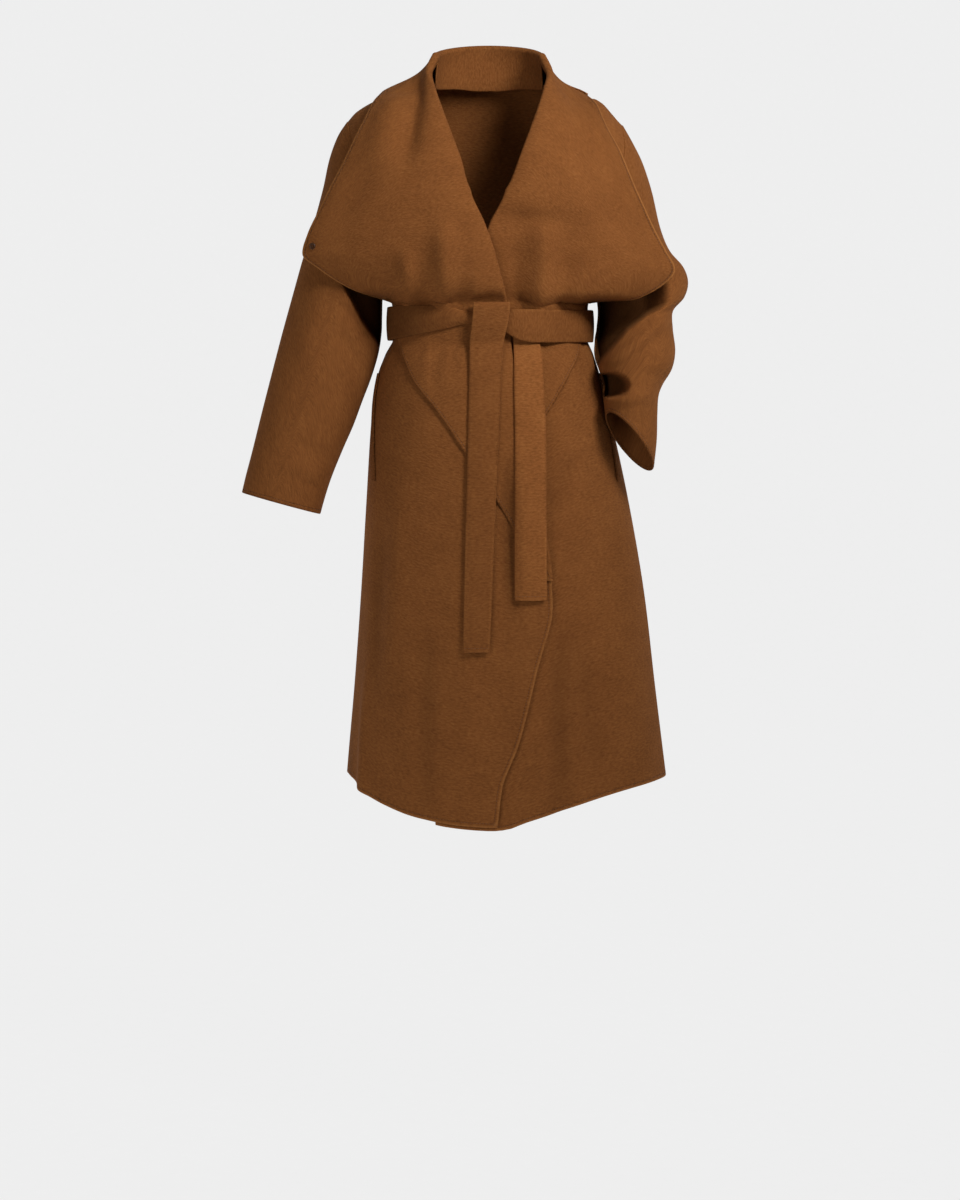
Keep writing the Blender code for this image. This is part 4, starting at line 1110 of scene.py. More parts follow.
def wall_of(points, quads, uv, uv_quads, wall, marks):
    """A closed wall of even thickness over a surface, its rims rounded to half circles.

    The outer face is p + n w / 2 and the inner one p - n w / 2. At a rim the wall turns through
    p + (n cos t + e sin t) w / 2 for t from 0 to 180 degrees, e pointing out of the edge.
    """
    used, squeezed = np.unique(quads, return_inverse=True)
    quads = squeezed.reshape(quads.shape)
    points, marks = points[used], marks[used]
    face = crossed(points, quads)
    normal = np.zeros_like(points)
    for corner in quads.T:
        np.add.at(normal, corner, face)
    normal, face = unit(normal + 1e-15), unit(face + 1e-15)
    start, end, owner = edge_loop(quads)
    away = np.zeros_like(points)
    outward_edge = np.cross(unit(points[end] - points[start]), face[owner])
    np.add.at(away, start, outward_edge)
    np.add.at(away, end, outward_edge)
    rim, count = np.unique(start), len(points)
    away = unit(away[rim] - normal[rim] * (away[rim] * normal[rim]).sum(-1, keepdims=True))
    layers = [points + normal * (wall / 2), points - normal * (wall / 2)]
    for turn in math.pi * shares(ROUND_STEPS)[1:-1]:
        leaning = normal[rim] * math.cos(turn) + away * math.sin(turn)
        layers.append(points[rim] + (wall / 2) * leaning)

    # Bands of faces join the layers' rims, from the outer face over the round to the inner one.
    place = np.full(count, -1)
    place[rim] = np.arange(len(rim))
    bands = [2 * count + step * len(rim) + place for step in range(ROUND_STEPS - 1)]
    bands = [np.arange(count), *bands, np.arange(count) + count]
    uv_out = uv[uv_quads]
    faces, maps = [quads, quads[:, ::-1] + count], [uv_out, uv_out[:, ::-1]]
    corner = np.argmax(quads[owner] == start[:, None], axis=1)
    uv_start, uv_end = uv_out[owner, corner], uv_out[owner, (corner + 1) % 4]
    for upper, lower in zip(bands[:-1], bands[1:]):
        faces.append(np.stack([upper[end], upper[start], lower[start], lower[end]], axis=-1))
        maps.append(np.stack([uv_end, uv_start, uv_start, uv_end], axis=1))
    marks = np.concatenate([marks, marks] + [marks[rim]] * (ROUND_STEPS - 1))
    return np.concatenate(layers), np.concatenate(faces), np.concatenate(maps), marks


def smooth_object(name, points, quads):
    mesh = bpy.data.meshes.new(name)
    mesh.from_pydata(points.tolist(), [], quads.tolist())
    mesh.shade_smooth()
    obj = bpy.data.objects.new(name, mesh)
    bpy.context.scene.collection.objects.link(obj)
    return obj


def put_mesh(name, points, quads, maps=None, marks=(), slot="wool_cloth", node=None):
    """A smooth mesh object of these quads, facing outwards, in place of its solid."""
    a, b, c, d = (points[quads[:, i]] for i in range(4))
    volume = (np.cross(a, b) * c).sum() + (np.cross(a, c) * d).sum()
    if volume < 0:
        quads = quads[:, ::-1]
        maps = None if maps is None else maps[:, ::-1]
    obj = smooth_object(name, points, quads)
    if maps is not None:
        layer = obj.data.uv_layers.new(name="cloth_metres")
        layer.data.foreach_set("uv", np.ascontiguousarray(maps, np.float32).ravel())
    # The second mark is painted shade, which darkens the colour where it lies.
    for kind, values in zip(("edge_distance", "painted_shade"), np.transpose(marks)):
        attribute = obj.data.attributes.new(kind, "FLOAT", "POINT")
        attribute.data.foreach_set("value", np.ascontiguousarray(values, np.float32))
    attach(obj, "root")
    if node:
        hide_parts(node)
    return obj


# ---------------- cloth


def front_surface(hand):
    """One front with its lapel: the mid surface's grid.

    The panel and lapel lie on the body function; the free lapel is a Hermite patch that leaves the
    roll and reaches the lapel's edge. Creases move its points along their normals.
    """
    grid, level = front_grid(hand, LEVELS), LEVELS[:, None]
    lapel = grid[:, PANEL_COLUMNS + 1 + ROLL_STEPS :]
    share = shares(LAPEL_COLUMNS)[None, 1:]
    loose = read(LAPELS[hand], level, "loose") * ease(share, *LAPEL_FROM)
    out = normals(lapel)
    out *= -np.sign(out[..., 1:2].mean())
    depth = creases(LAPEL_CREASES, lapel[..., 0], lapel[..., 2], -1)
    raised = loose + (1 - loose) * ease(share, *LAPEL_RAISED) * ease(level, *LAPEL_LYING)
    depth *= np.where(depth > 0, raised, loose) * (1 - ease(level, *LAPEL_TOP))
    lapel += out * (depth * crease_strength())[..., None]
    return grid


def hollows(x, z):
    """How far three sharp hollows of the sleeves are sunk at these places, from 0 to 1.

    On the left elbow the upper lies above the line of a fold's ridge and the lower is an ellipse.
    On the right sleeve one lies between a fold and the body. All end in smooth steps.
    """
    ridge = np.interp(x, *LEFT_FOLD.values())
    upper = ease(z - ridge, *UPPER_RIM) * (1 - ease(x, *UPPER_OUT)) * (1 - ease(z, *UPPER_TOP))
    low_x, low_z, half_x, half_z = LOWER_HOLLOW
    lower = 1 - ease(np.hypot((x - low_x) / half_x, (z - low_z) / half_z), *LOWER_RIM)
    fold = np.interp(z, *RIGHT_FOLD.values())
    inner = ease(x - fold, 0, INNER_RIM) * (1 - ease(z, *INNER_TOP)) * ease(z, *INNER_FOOT)
    return upper * (x > 0), lower, inner * (x < 0)


def sleeve_surface(hand):
    """A sleeve, Catmull-Rom rows through its section rings, then its creases; and the painted shade
    of its hollows.

    A crease pushes the cloth straight back or forward, less where the sleeve turns away. Each of
    the hollows pushes the front back, up to a limit behind the sleeve's middle, and how far it is
    sunk there is also returned as painted shade for the front's colour.
    """
    rings = sleeve_rings(hand)
    grid = spline_rows(rings, (len(rings) - 1) * shares(SLEEVE_ROWS))
    along = lengths(grid, 0).mean(axis=1, keepdims=True)
    out = normals(grid, closed=True)
    middle = grid.mean(axis=1, keepdims=True)
    out *= np.sign(((grid - middle) * out).sum(-1).mean())
    side = np.sign(out[..., 1])
    x, y, z = np.moveaxis(grid, -1, 0)
    depth = creases(SLEEVE_CREASES, x, z, side)
    top, cuff = SLEEVE_HELD
    held = ease(along, 0.0, top) * (1 - ease(along, along.max() - cuff, along.max()))
    facing = ease(np.abs(out[..., 1]), *SLEEVE_FACING)
    inside = middle[..., 1] + HOLLOW_LIMIT * np.abs(y - middle[..., 1])
    y += side * depth * held * facing * crease_strength()
    sunk = hollows(x, z)
    pushed = y + crease_strength() * sum(share * size for share, size in zip(sunk, HOLLOW_DEPTHS))
    pushed = np.minimum(pushed, np.maximum(inside, y))
    grid[..., 1] = np.where(side < 0, pushed, y)
    # The front's deepest share of the hollows is returned as painted shade.
    return grid, np.where(side < 0, np.max(sunk, axis=0), 0)


def rim_distance(grid, *edges):
    """Distance in metres from each point to these finished edges of its grid, at most FAR."""
    down, across = lengths(grid, 0), lengths(grid, 1)
    far = {"low": down, "high": down[-1:] - down, "first": across, "last": across[:, -1:] - across}
    return np.min([np.full(down.shape, FAR)] + [far[edge] for edge in edges], axis=0)


SURFACES = {}  # grids of the pieces made so far, by node name, for the snap and the stitching


def make_cloth(name, grid, far, painted_shade=0.0, closed=False, dropped=None, strip=None):
    """A walled piece of cloth over a grid, in place of its solid.

    far is each point's distance to a finished edge; the third argument is painted shade, how much its
    colour is darkened there.
    """
    sizes = bpy.context.scene.coat_sizes
    quads, flat = quads_of(*grid.shape[:2], closed, dropped)
    points = grid.reshape(-1, 3)
    marks = stack(far, painted_shade).reshape(-1, 2)
    run = np.concatenate([grid, grid[:, :1]], axis=1) if closed else grid
    uv = stack(lengths(run, 1), lengths(run, 0)).reshape(-1, 2)
    wall = sizes.belt_cloth if strip else sizes.cloth
    piece = put_mesh(name + "_cloth", *wall_of(points, quads, uv, flat, wall, marks), node=name)
    # The belt's pieces get their own copies of the wool, scaled by their painted light and shade, with
    # a fainter painted edge highlight and no groove shade.
    wool = ("brushed_wool_" + name, BELT_PAINTED_LIGHT[name], 0.0) if strip else ("brushed_wool",)
    piece.data.materials.append(brushed_wool(*wool))
    SURFACES[name] = grid
    if name != "knot":
        area = float(np.linalg.norm(crossed(points, quads), axis=-1).sum() / 2)
        declare_cut(piece)


# What a piece of cloth lies on; the others hang from the shoulders, or are sewn to those that do.
LIES_ON = {
    "belt_cloth": ["front_right_cloth", "front_left_cloth", "back_cloth"],
    "tail_long_cloth": ["knot_cloth", "front_right_cloth"],
    "tail_short_cloth": ["front_right_cloth"],
    "front_right_cloth": ["front_left_cloth"],
    "pocket_welt_right_cloth": ["front_right_cloth"],
    "pocket_welt_left_cloth": ["front_left_cloth"],
}


def declare_cut(piece):
    """Reads what a piece lies on from LIES_ON, and does nothing more with it.
    """
    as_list(LIES_ON.get(piece.name, []))


# ---------------- stitching, snap and studio


def inset_line(grid, edge, inset):
    """The line that runs at a distance inside one edge of a grid, and the cloth's normal there.

    edge is first, last (columns), low or high (rows). Each row or column is cut at the inset by
    linear interpolation of its arc length.
    """
    turned = grid if edge in ("first", "last") else np.swapaxes(grid, 0, 1)
    if edge in ("last", "high"):
        turned = turned[:, ::-1]
    run = lengths(turned, 1)
    i = np.clip((run < inset).sum(axis=1) - 1, 0, turned.shape[1] - 2)
    rows = np.arange(len(turned))
    t = ((inset - run[rows, i]) / (run[rows, i + 1] - run[rows, i] + 1e-12))[:, None]
    out = normals(turned)
    line = turned[rows, i] * (1 - t) + turned[rows, i + 1] * t
    return line, unit(out[rows, i] * (1 - t) + out[rows, i + 1] * t)


def seam(grid, edge, inset, wall, tube=False):
    """Where the stitches along an edge lie: a line, its normals turned outwards, and the wall."""
    line, out = inset_line(grid, edge, inset)
    centre = line.mean(axis=0) if tube else line * UP
    return line, out * np.sign(((line - centre) * out).sum(axis=-1, keepdims=True) + 1e-9), wall


STITCH_ENDS = np.array([-1.0, -0.6, 0.6, 1.0])  # where its rings lie, as shares of its half length
STITCH_TAPER = np.array([0.25, 1.0, 1.0, 0.25])  # their radii, as shares of the thread's
STITCH_SIDES = 5


def stitches(line, out, wall):
    """Short sunk stitches along a line: capsules of five sides, tapered at both ends.

    Each is placed at p + d (s l / 2) + (n cos t + b sin t) r(s), d being its direction, n the
    cloth's normal, b their cross product and r(s) its radius along s from -1 to 1.
    """
    sizes = bpy.context.scene.coat_sizes
    step = np.linalg.norm(np.diff(line, axis=0), axis=1)
    reach = np.concatenate([[0], np.cumsum(step)])
    middle = np.arange(sizes.stitch_spacing / 2, reach[-1], sizes.stitch_spacing)

    def at(place):
        return np.stack([np.interp(place, reach, line[:, i]) for i in range(3)], axis=-1)

    run = unit(at(middle + 1e-3) - at(middle - 1e-3) + 1e-12)
    near = np.argmin(((line[None] - at(middle)[:, None]) ** 2).sum(-1), axis=1)
    n = unit(out[near] - run * (out[near] * run).sum(-1, keepdims=True))
    b = np.cross(run, n)
    radius = (sizes.thread * STITCH_TAPER)[:, None]
    turn = np.arange(STITCH_SIDES) * 2 * math.pi / STITCH_SIDES
    sunk = sizes.thread * 0.7 * np.abs(STITCH_ENDS) ** 3
    centre = at(middle) + n * (wall / 2 + sizes.thread * 0.15)
    place = (
        centre[:, None, None]
        + run[:, None, None] * (STITCH_ENDS * sizes.stitch_length / 2)[:, None, None]
        + n[:, None, None] * (radius * np.cos(turn))[..., None]
        + b[:, None, None] * (radius * np.sin(turn))[..., None]
        - n[:, None, None] * sunk[:, None, None]
    )
    return place.reshape(len(place), -1, 3)


def join_stitches(name, seams):
    """One mesh of all the stitches along these seams, each closed by two caps of two faces."""
    places = np.concatenate([stitches(*one) for one in seams])
    index = np.arange(len(STITCH_ENDS) * STITCH_SIDES).reshape(-1, STITCH_SIDES)
    ahead = np.roll(index, -1, axis=1)
    around = np.stack([index[:-1], ahead[:-1], ahead[1:], index[1:]], -1).reshape(-1, 4)
    caps = [index[0, [0, 1, 2, 3]], index[0, [0, 3, 4, 4]]]
    caps += [index[-1, [3, 2, 1, 0]], index[-1, [4, 4, 3, 0]]]
    first = index.size * np.arange(len(places))[:, None, None]
    quads = np.concatenate([around, caps]) + first
    return put_mesh(name, places.reshape(-1, 3), quads.reshape(-1, 4))


def turned_ring(profile, sides):
    """The profile turned about Z: (r cos t, r sin t, h) for t round the circle, closed below."""
    reach = np.append(profile["reach"], 0.0)[:, None]
    height = np.append(profile["height"], profile["height"][-1])[:, None]
    t = np.arange(sides) * 2 * math.pi / sides
    quads, _ = quads_of(len(reach), sides, closed=True)
    return stack(reach * np.cos(t), reach * np.sin(t), height).reshape(-1, 3), quads


FLOOR = -1.543
WORLD_LIGHT = 0.05
# Each lamp: name, place, size, watts, the width of its beam in degrees, and what it is aimed at.
LAMPS = (
    ("key", (1.15, -1.5, 0.95), (0.7, 0.7), 5.2, 60.0, (0.06, 0.0, -0.14)),
    ("fill", (-1.9, -3.2, -0.4), (1.6, 2.2), 28.5, 180.0, (0.0, 0.0, -0.75)),
    ("top", (0.2, -0.9, 1.5), (1.0, 1.0), 4.0, 180.0, (0.0, 0.0, -0.30)),
    ("side", (2.6, -1.0, 0.0), (1.0, 2.0), 2.2, 180.0, (0.0, 0.0, -0.40)),
)
CAMERA, CAMERA_AIM = (-0.013, -4.6, -0.373), (-0.013, 0.0, -0.757)
LENS = 94.2  # millimetres on a 36 mm sensor


def paper_sweep():
    """Floor and wall of one sheet: flat from y -9 to 4, a quarter circle of radius 1.5, then up."""
    arc = np.linspace(0, math.pi / 2, 40)
    y = np.concatenate([np.linspace(-9, 4, 14)[:-1], 4 + 1.5 * np.sin(arc), [5.5] * 3])
    z = np.concatenate([[0] * 13, 1.5 * (1 - np.cos(arc)), [3.0, 5.0, 8.0]])
    grid = stack(np.linspace(-9, 9, 7)[None], y[:, None], FLOOR + z[:, None])
    return smooth_object("paper", grid.reshape(-1, 3), quads_of(*grid.shape[:2])[0])


def put_aimed(data, place, target):
    """A lamp or camera at a place, looking at its target."""
    obj = bpy.data.objects.new(data.name, data)
    bpy.context.scene.collection.objects.link(obj)
    obj.location = place
    aim = Vector(target) - Vector(place)
    obj.rotation_euler = aim.to_track_quat("-Z", "Y").to_euler()
    return obj


# ---------------- materials


def linear(code):
    """Linear red, green, blue of an sRGB hex code: c / 12.92, or ((c + 0.055) / 1.055) ** 2.4."""
    parts = np.array([int(code[i : i + 2], 16) for i in (1, 3, 5)]) / 255
    return tuple(np.where(parts <= 0.04045, parts / 12.92, ((parts + 0.055) / 1.055) ** 2.4))


def add(tree, kind, settings=None, links=None):
    """One node of this kind with its settings, and links from other sockets to its inputs."""
    node = tree.nodes.new(kind)
    for name, value in (settings or {}).items():
        if name in node.inputs:
            node.inputs[name].default_value = value
        else:
            setattr(node, name, value)
    for name, socket in (links or {}).items():
        tree.links.new(socket, node.inputs[name])
    return node


def new_material(name, settings):
    """A material with these settings of its shader, and its node tree and shader."""
    material = bpy.data.materials.new(name)
    material.use_nodes = True
    shader = material.node_tree.nodes["Principled BSDF"]
    for key, value in settings.items():
        shader.inputs[key].default_value = value
    return material, material.node_tree, shader


def place_on(tree, kind="Object"):
    return add(tree, "ShaderNodeTexCoord").outputs[kind]


def noise(tree, place, scale, detail, rough=0.5, warp=0.0):
    settings = {"Scale": scale, "Detail": detail, "Roughness": rough, "Distortion": warp}
    return add(tree, "ShaderNodeTexNoise", settings, {"Vector": place}).outputs["Fac"]


def ramp(tree, factor, dark, light):
    """A colour that runs from dark to light as the factor runs from 0 to 1."""
    node = add(tree, "ShaderNodeValToRGB", links={"Fac": factor})
    for stop, colour in zip(node.color_ramp.elements, (dark, light)):
        stop.color = (*colour, 1)
    return node


def step(tree, value, start, stop, before, after):
    """A smooth step between two levels."""
    limits = {"From Min": start, "From Max": stop, "To Min": before, "To Max": after}
    settings = {"interpolation_type": "SMOOTHSTEP", **limits}
    return add(tree, "ShaderNodeMapRange", settings, {"Value": value}).outputs["Result"]


def brushed_wool(name="brushed_wool", tone=1.0, sewn=1.0):
    """Double-faced wool, brushed and steamed. A short nap lies in fine ripples across the cloth, so
    it looks matt, with a pale bloom where it is seen edge on. Its colour is partly its own cloudy
    tone and partly painted: painted shade between the ripples and painted light on their tops, a
    painted highlight along its finished edges, painted shade in the stitched groove and painted
    shade where the mesh's shade mark lies. tone scales the whole colour, above 1 as painted light
    on one piece and below 1 as painted shade. sewn is how strongly the edge stitching draws the
    cloth in, and how strong the painted edge highlight and groove shade are.
    """
    if name in bpy.data.materials:
        return bpy.data.materials[name]
    colours = bpy.context.scene.coat_colours
    settings = {"Roughness": 0.95, "Specular IOR Level": 0.06, "Sheen Weight": 0.10}
    settings |= {"Sheen Roughness": 0.55, "Sheen Tint": (*colours.sheen, 1)}
    material, tree, shader = new_material(name, settings)
    place = place_on(tree, "UV")

    def cloth_noise(wide, tall, *more):
        """Noise whose features are wide by tall millimetres on the cloth."""
        settings = {"Scale": (1000 / wide, 1000 / tall, 1)}
        scaled = add(tree, "ShaderNodeMapping", settings, {"Vector": place})
        return noise(tree, scaled.outputs[0], 1.0, *more)

    def maths(operation, *values):
        node = add(tree, "ShaderNodeMath", {"operation": operation})
        for socket, value in zip(node.inputs, (*values, 0.0, 0.0)):
            if isinstance(value, (int, float)):
                socket.default_value = value
            else:
                tree.links.new(value, socket)
        return node.outputs[0]

    def mark(kind):
        return add(tree, "ShaderNodeAttribute", {"attribute_name": kind}).outputs["Fac"]

    # Real ripples are 1 to 3 mm; they are drawn 2.4 mm tall and 6 mm wide so that they show.
    ripple = cloth_noise(6.0, 2.4, 3.0, 0.5, 0.3)
    hairs = cloth_noise(1.6, 0.7, 4.0, 0.65)
    cloudy = cloth_noise(60.0, 45.0, 2.0, 0.55)
    smudge = cloth_noise(17.0, 13.0, 2.0, 0.55)
    edge, painted_shade = mark("edge_distance"), mark("painted_shade")
    # The finished edges get a painted highlight on their rim and painted shade in the stitched groove,
    # which the bump also sinks.
    from_seam = maths("ABSOLUTE", maths("SUBTRACT", edge, EDGE_INSET))
    groove = step(tree, from_seam, 0.0, 0.0011, 1.0, 0.0)
    rim = step(tree, edge, 0.0008, 0.0024, 1.0, 0.0)

    # The ripples and hairs also make the bump, so the colour they give is painted shade where they
    # sink and painted light where they rise; the cloudy and smudged noise is the cloth's own uneven
    # tone.
    mixed = maths("MULTIPLY_ADD", ripple, 0.62, maths("MULTIPLY", hairs, 0.38))
    mixed = maths("MULTIPLY_ADD", maths("SUBTRACT", cloudy, 0.5), 0.22, mixed)
    mixed = maths("MULTIPLY_ADD", maths("SUBTRACT", smudge, 0.5), 0.12, mixed)
    # Painted shade: between the heights where the lapels' ends lie pressed flat under the belt, the
    # rims of every piece are drawn darker instead of lighter.
    up = add(tree, "ShaderNodeSeparateXYZ", links={0: place_on(tree)}).outputs["Z"]
    rim_shade_band = maths(
        "MULTIPLY", step(tree, up, *PRESSED_FROM, 0.0, 1.0), step(tree, up, *PRESSED_TO, 1.0, 0.0)
    )
    painted_rim = maths("MULTIPLY", rim, maths("MULTIPLY_ADD", rim_shade_band, -1.9, 1.0))
    # The painted edge highlight and groove shade are halved below the belt.
    upper = step(tree, up, *LAPELS_FROM, 0.5, 1.0)
    painted_rim, sunk = maths("MULTIPLY", painted_rim, upper), maths("MULTIPLY", groove, upper)
    # Painted highlight on the rims, painted shade in the groove.
    mixed = maths("MULTIPLY_ADD", painted_rim, 0.12 + 0.26 * sewn, mixed)
    mixed = maths("MULTIPLY_ADD", sunk, -0.32 * sewn, mixed)
    # The ramp runs from wool_shade, painted shade between the ripples, to wool_light, painted light on
    # their tops.
    dark, middle, light = (
        np.array(colour) * tone for colour in (colours.wool_shade, colours.wool, colours.wool_light)
    )
    colour = ramp(tree, mixed, dark, light)
    stops = colour.color_ramp.elements
    stops[0].position, stops[1].position = 0.22, 0.80
    stops.new(0.5).color = (*middle, 1)
    # Painted shade: the colour is darkened by the mesh's painted shade mark, which lies in the
    # sleeves' deep hollows, along the skirt's sunk folds and on the belt under the right lapel.
    kept = maths("MULTIPLY_ADD", painted_shade, -0.70, 1.0)
    links = {0: colour.outputs["Color"], "Scale": kept}
    dimmed = add(tree, "ShaderNodeVectorMath", {"operation": "SCALE"}, links)
    tree.links.new(dimmed.outputs[0], shader.inputs["Base Color"])

    height = maths("MULTIPLY_ADD", ripple, 0.55, maths("MULTIPLY", hairs, 0.22))
    height = maths("MULTIPLY_ADD", sunk, -0.50 * sewn, height)
    height = maths("MULTIPLY_ADD", smudge, 0.5, height)
    relief = add(tree, "ShaderNodeBump", {"Strength": 1.0, "Distance": 0.0013}, {"Height": height})
    tree.links.new(relief.outputs["Normal"], shader.inputs["Normal"])
    return material


def silk_thread():
    """Twisted sewing thread in the cloth's colour: finer and a little glossier than the wool."""
    if "sewing_thread" in bpy.data.materials:
        return bpy.data.materials["sewing_thread"]
    material, tree, shader = new_material("sewing_thread", {"Roughness": 0.6})
    twist = noise(tree, place_on(tree), 900.0, 2.0)
    colour = np.array(bpy.context.scene.coat_colours.thread)
    twisted = ramp(tree, twist, colour * 0.7, colour * 1.3)
    tree.links.new(twisted.outputs["Color"], shader.inputs["Base Color"])
    return material


def horn_plastic():
    """Moulded casein plastic in dark horn brown: smooth and glossy, with faint cloudy streaks."""
    settings = {"Roughness": 0.28, "IOR": 1.53, "Specular IOR Level": 0.22}
    material, tree, shader = new_material("dark_horn_plastic", settings)
    streak = noise(tree, place_on(tree), 420.0, 3.0, warp=1.5)
    streaked = ramp(tree, streak, linear("#2A170C"), linear("#5C381D"))
    tree.links.new(streaked.outputs["Color"], shader.inputs["Base Color"])
    return material


def studio_paper():
    """Seamless background paper: pale and dead matt, lit so strongly from the coat backwards that
    it glows evenly there, and dimmer towards the front of the studio.
    """
    settings = {"Base Color": (0.02, 0.02, 0.02, 1), "Roughness": 1.0, "Specular IOR Level": 0.0}
    material, tree, shader = new_material("studio_paper", settings)
    place = place_on(tree)
    paper = np.array(bpy.context.scene.coat_colours.paper)
    fibres = ramp(tree, noise(tree, place, 60.0, 3.0), paper * 0.985, paper)
    depth = add(tree, "ShaderNodeSeparateXYZ", links={"Vector": place}).outputs["Y"]
    glow = step(tree, depth, -2.2, -0.5, 0.1, 1.0)
    tree.links.new(fibres.outputs["Color"], shader.inputs["Emission Color"])
    tree.links.new(glow, shader.inputs["Emission Strength"])
    return material


# ---------------- settings


def size(label, description, default):
    return FloatProperty(name=label, description=description, default=default, unit="LENGTH")


def colour(label, description, code):
    default = linear(code)
    return FloatVectorProperty(name=label, description=description, default=default, subtype="COLOR")


class CoatSizes(bpy.types.PropertyGroup):
    """Sizes of the coat's cloth and sewing."""

    cloth: size("Cloth", "Thickness of the coat's cloth", CLOTH)
    belt_cloth: size("Belt cloth", "Thickness of the belt, which is sewn double", BELT_CLOTH)
    crease: FloatProperty(
        name="Creases", description="Depth of the creases, 1 as worn", default=1.0, min=0, max=1.5
    )
    edge_inset: size("Edge stitching", "Distance of the stitching from a finished edge", EDGE_INSET)
    stitch_spacing: size("Stitch spacing", "From stitch to stitch", 0.0044)
    stitch_length: size("Stitch length", "Length of one stitch", 0.0029)
    thread: size("Thread", "Radius of the sewing thread", 0.00028)


class CoatColours(bpy.types.PropertyGroup):
    """Colours of the cloth, thread and background."""

    wool: colour("Wool", "Middle tone", "#7F4D27")
    # wool_light and wool_shade are painted light and painted shade: the nap's ripples are drawn
    # lighter on their tops and darker between them.
    wool_light: colour("Wool, raised", "Tips of the nap", "#956133")
    wool_shade: colour("Wool, hollows", "Between the nap", "#5D371A")
    sheen: colour("Bloom", "Tint of the nap seen edge on", "#A8743F")
    thread: colour("Thread", "Sewing thread", "#6B4324")
    paper: colour("Paper", "Background paper", "#EEEEEE")


# ---------------- operators


class MakeFronts(bpy.types.Operator):
    """Makes both fronts, each cut in one with its lapel"""

    bl_idname = "coat.make_fronts"
    bl_label = "Fronts and lapels"

    def execute(self, context):
        lower = np.s_[: BELOW + 1, : PANEL_COLUMNS + 1]
        for name, hand in (("front_right", -1), ("front_left", 1)):
            grid = front_surface(hand)
            far = rim_distance(grid, "last")
            far[: BELOW + 1] = 0.0
            far[lower] = rim_distance(grid[lower], "low", "last")
            # Painted shade along the skirt's sunk folds: deeper folds are darker, and there is none
            # above FOLD_SHADE_TOP.
            folds = creases(BODY_CREASES, grid[..., 0], grid[..., 2], -1)
            painted_shade = np.clip(-FOLD_SHADE * folds, 0, FOLD_SHADE_MOST)
            painted_shade *= 1 - ease(grid[..., 2], *FOLD_SHADE_TOP)
            make_cloth(name, grid, far, painted_shade, dropped=(BELOW, PANEL_COLUMNS))
        return {"FINISHED"}


class MakeBack(bpy.types.Operator):
    """Makes the back, one piece from its hem to the shoulders and neckline"""

    bl_idname = "coat.make_back"
    bl_label = "Back"

    def execute(self, context):
        grid = back_grid(LEVELS)
        make_cloth("back", grid, rim_distance(grid, "low"))
        return {"FINISHED"}


class MakeCollar(bpy.types.Operator):
    """Makes the small stand collar that turns down over the back"""

    bl_idname = "coat.make_collar"
    bl_label = "Collar"

    def execute(self, context):
        grid = collar_grid(*COLLAR_GRID)
        make_cloth("collar", grid, rim_distance(grid, "last"))
        return {"FINISHED"}


class MakeSleeves(bpy.types.Operator):
    """Makes both sleeves, the left one bent at its elbow"""

    bl_idname = "coat.make_sleeves"
    bl_label = "Sleeves"

    def execute(self, context):
        for name, hand in (("sleeve_right", -1), ("sleeve_left", 1)):
            grid, painted_shade = sleeve_surface(hand)
            make_cloth(name, grid, rim_distance(grid, "high"), painted_shade, closed=True)
        return {"FINISHED"}


class MakeBelt(bpy.types.Operator):
    """Makes the belt, its knot and its two hanging ends"""

    bl_idname = "coat.make_belt"
    bl_label = "Belt, knot and ends"

    def execute(self, context):
        belt = belt_grid(*BELT_GRID)
        # Painted shade on the belt's right part, where the right lapel overhangs it.
        overhung = (belt[..., 1] < 0) * (1 - ease(belt[..., 0], *OVERHUNG_FROM))
        far = rim_distance(belt, "first", "last")
        make_cloth("belt", belt, far, OVERHUNG_SHADE * overhung, strip=BELT_STRIP)
        ends = {"tail_long": tail_long_grid(*LONG_GRID)}
        ends["tail_short"] = tail_grid(*SHORT_GRID, TAIL_SHORT)
        for name, grid in ends.items():
            make_cloth(name, grid, rim_distance(grid, "low", "first", "last"), strip=BELT_STRIP)
        knot = knot_grid(*KNOT_GRID)
        make_cloth("knot", knot, rim_distance(knot), closed=True)
        return {"FINISHED"}


class MakeWelts(bpy.types.Operator):
    """Makes the narrow welts over the mouths of the pockets"""

    bl_idname = "coat.make_welts"
    bl_label = "Pocket welts"

    def execute(self, context):
        for name, hand in (("pocket_welt_right", -1), ("pocket_welt_left", 1)):
            grid = welt_grid(hand, *WELT_GRID)
            make_cloth(name, grid, rim_distance(grid, "low", "high", "first", "last"))
        return {"FINISHED"}


class MakeSnap(bpy.types.Operator):
    """Makes the ring snap near the tip of the right lapel"""

    bl_idname = "coat.make_snap"
    bl_label = "Lapel snap"

    def execute(self, context):
        low, high = (np.array(corner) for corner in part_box("lapel_button"))
        grid = SURFACES["front_right"]
        away = ((grid - (low + high) / 2) ** 2).sum(-1)
        nearest = np.unravel_index(np.argmin(away), away.shape)
        axis = normals(grid)[nearest]
        axis *= -np.sign(axis[1])
        points, quads = turned_ring(SNAP_PROFILE, SNAP_SIDES)
        x = unit(np.cross(UP, axis))
        seat = grid[nearest] + axis * context.scene.coat_sizes.cloth / 2
        points = seat + points @ np.stack([x, np.cross(axis, x), axis])
        button = put_mesh("lapel_snap", points, quads, slot="button", node="lapel_button")
        button.data.materials.append(horn_plastic())
        return {"FINISHED"}


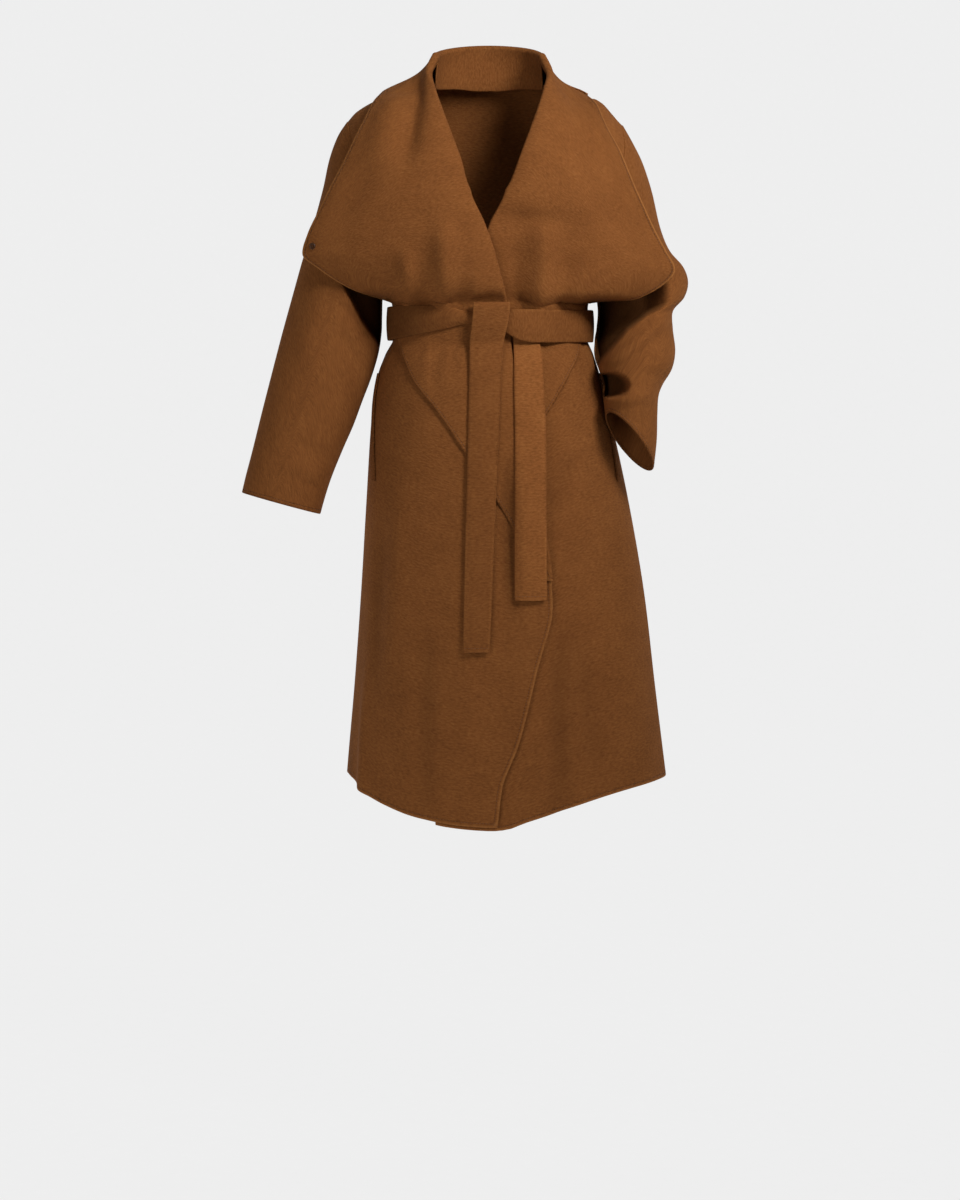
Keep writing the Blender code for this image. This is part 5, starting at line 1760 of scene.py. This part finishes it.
class MakeStitching(bpy.types.Operator):
    """Sews the finished edges: short sunk stitches a little way inside each of them"""

    bl_idname = "coat.make_stitching"
    bl_label = "Edge stitching"

    def execute(self, context):
        sizes = context.scene.coat_sizes
        inset, cloth = sizes.edge_inset, sizes.cloth
        sewn = {}
        for name in ("front_right", "front_left"):
            grid = SURFACES[name]
            lower = grid[: BELOW + 1, : PANEL_COLUMNS + 1]
            edges = ((lower, "low"), (lower, "last"), (grid[BELOW:], "last"))
            sewn[name] = [seam(part, edge, inset, cloth) for part, edge in edges]
        for name, edge in (("back", "low"), ("collar", "last")):
            sewn[name] = [seam(SURFACES[name], edge, inset, cloth)]
        for name in ("sleeve_right", "sleeve_left"):
            tube = np.concatenate([SURFACES[name], SURFACES[name][:, :1]], axis=1)
            sewn[name] = [seam(tube, "high", inset, cloth, tube=True)]
        for name in ("tail_long", "tail_short"):
            sewn[name] = [seam(SURFACES[name], "low", inset, sizes.belt_cloth)]
        for name, seams in sewn.items():
            stitching = join_stitches(name + "_stitching", seams)
            stitching.data.materials.append(silk_thread())
        return {"FINISHED"}


class MakeStage(bpy.types.Operator):
    """Sets the seamless paper, the studio lights and the camera"""

    bl_idname = "coat.make_stage"
    bl_label = "Studio"

    def execute(self, context):
        scene = context.scene
        paper = paper_sweep()
        paper.data.materials.append(studio_paper())
        scene.world = bpy.data.worlds.new("studio")
        scene.world.use_nodes = True
        sky = scene.world.node_tree.nodes["Background"].inputs
        sky["Color"].default_value = (1.0, 1.0, 1.0, 1)
        sky["Strength"].default_value = WORLD_LIGHT
        for name, place, size, power, beam, target in LAMPS:
            lamp = bpy.data.lights.new(name, "AREA")
            lamp.shape = "RECTANGLE"
            lamp.size, lamp.size_y = size
            lamp.energy = power
            lamp.spread = math.radians(beam)
            put_aimed(lamp, place, target)
        lens = bpy.data.cameras.new("camera")
        lens.sensor_width = 36.0
        lens.lens = LENS
        lens.clip_end = 60.0
        scene.camera = put_aimed(lens, CAMERA, CAMERA_AIM)
        scene.view_settings.view_transform = "Standard"
        return {"FINISHED"}


class CoatPanel(bpy.types.Panel):
    """Lists the coat's pieces, sizes and colours"""

    bl_idname = "VIEW3D_PT_wool_wrap_coat"
    bl_label = "Wool wrap coat"
    bl_space_type = "VIEW_3D"
    bl_region_type = "UI"
    bl_category = "Coat"

    def draw(self, context):
        for operator in OPERATORS:
            self.layout.operator(operator.bl_idname)
        for group in (context.scene.coat_sizes, context.scene.coat_colours):
            for name in group.__annotations__:
                self.layout.prop(group, name)


OPERATORS = (
    MakeFronts,
    MakeBack,
    MakeCollar,
    MakeSleeves,
    MakeBelt,
    MakeWelts,
    MakeSnap,
    MakeStitching,
    MakeStage,
)
CLASSES = (CoatSizes, CoatColours, *OPERATORS, CoatPanel)


def register():
    for one in CLASSES:
        bpy.utils.register_class(one)
    bpy.types.Scene.coat_sizes = PointerProperty(type=CoatSizes)
    bpy.types.Scene.coat_colours = PointerProperty(type=CoatColours)


def unregister():
    del bpy.types.Scene.coat_colours
    del bpy.types.Scene.coat_sizes
    for one in reversed(CLASSES):
        bpy.utils.unregister_class(one)


def main():
    """Makes every piece in order."""
    register()
    for operator in OPERATORS:
        group, name = operator.bl_idname.split(".")
        getattr(getattr(bpy.ops, group), name)()


if __name__ == "__main__":
    main()
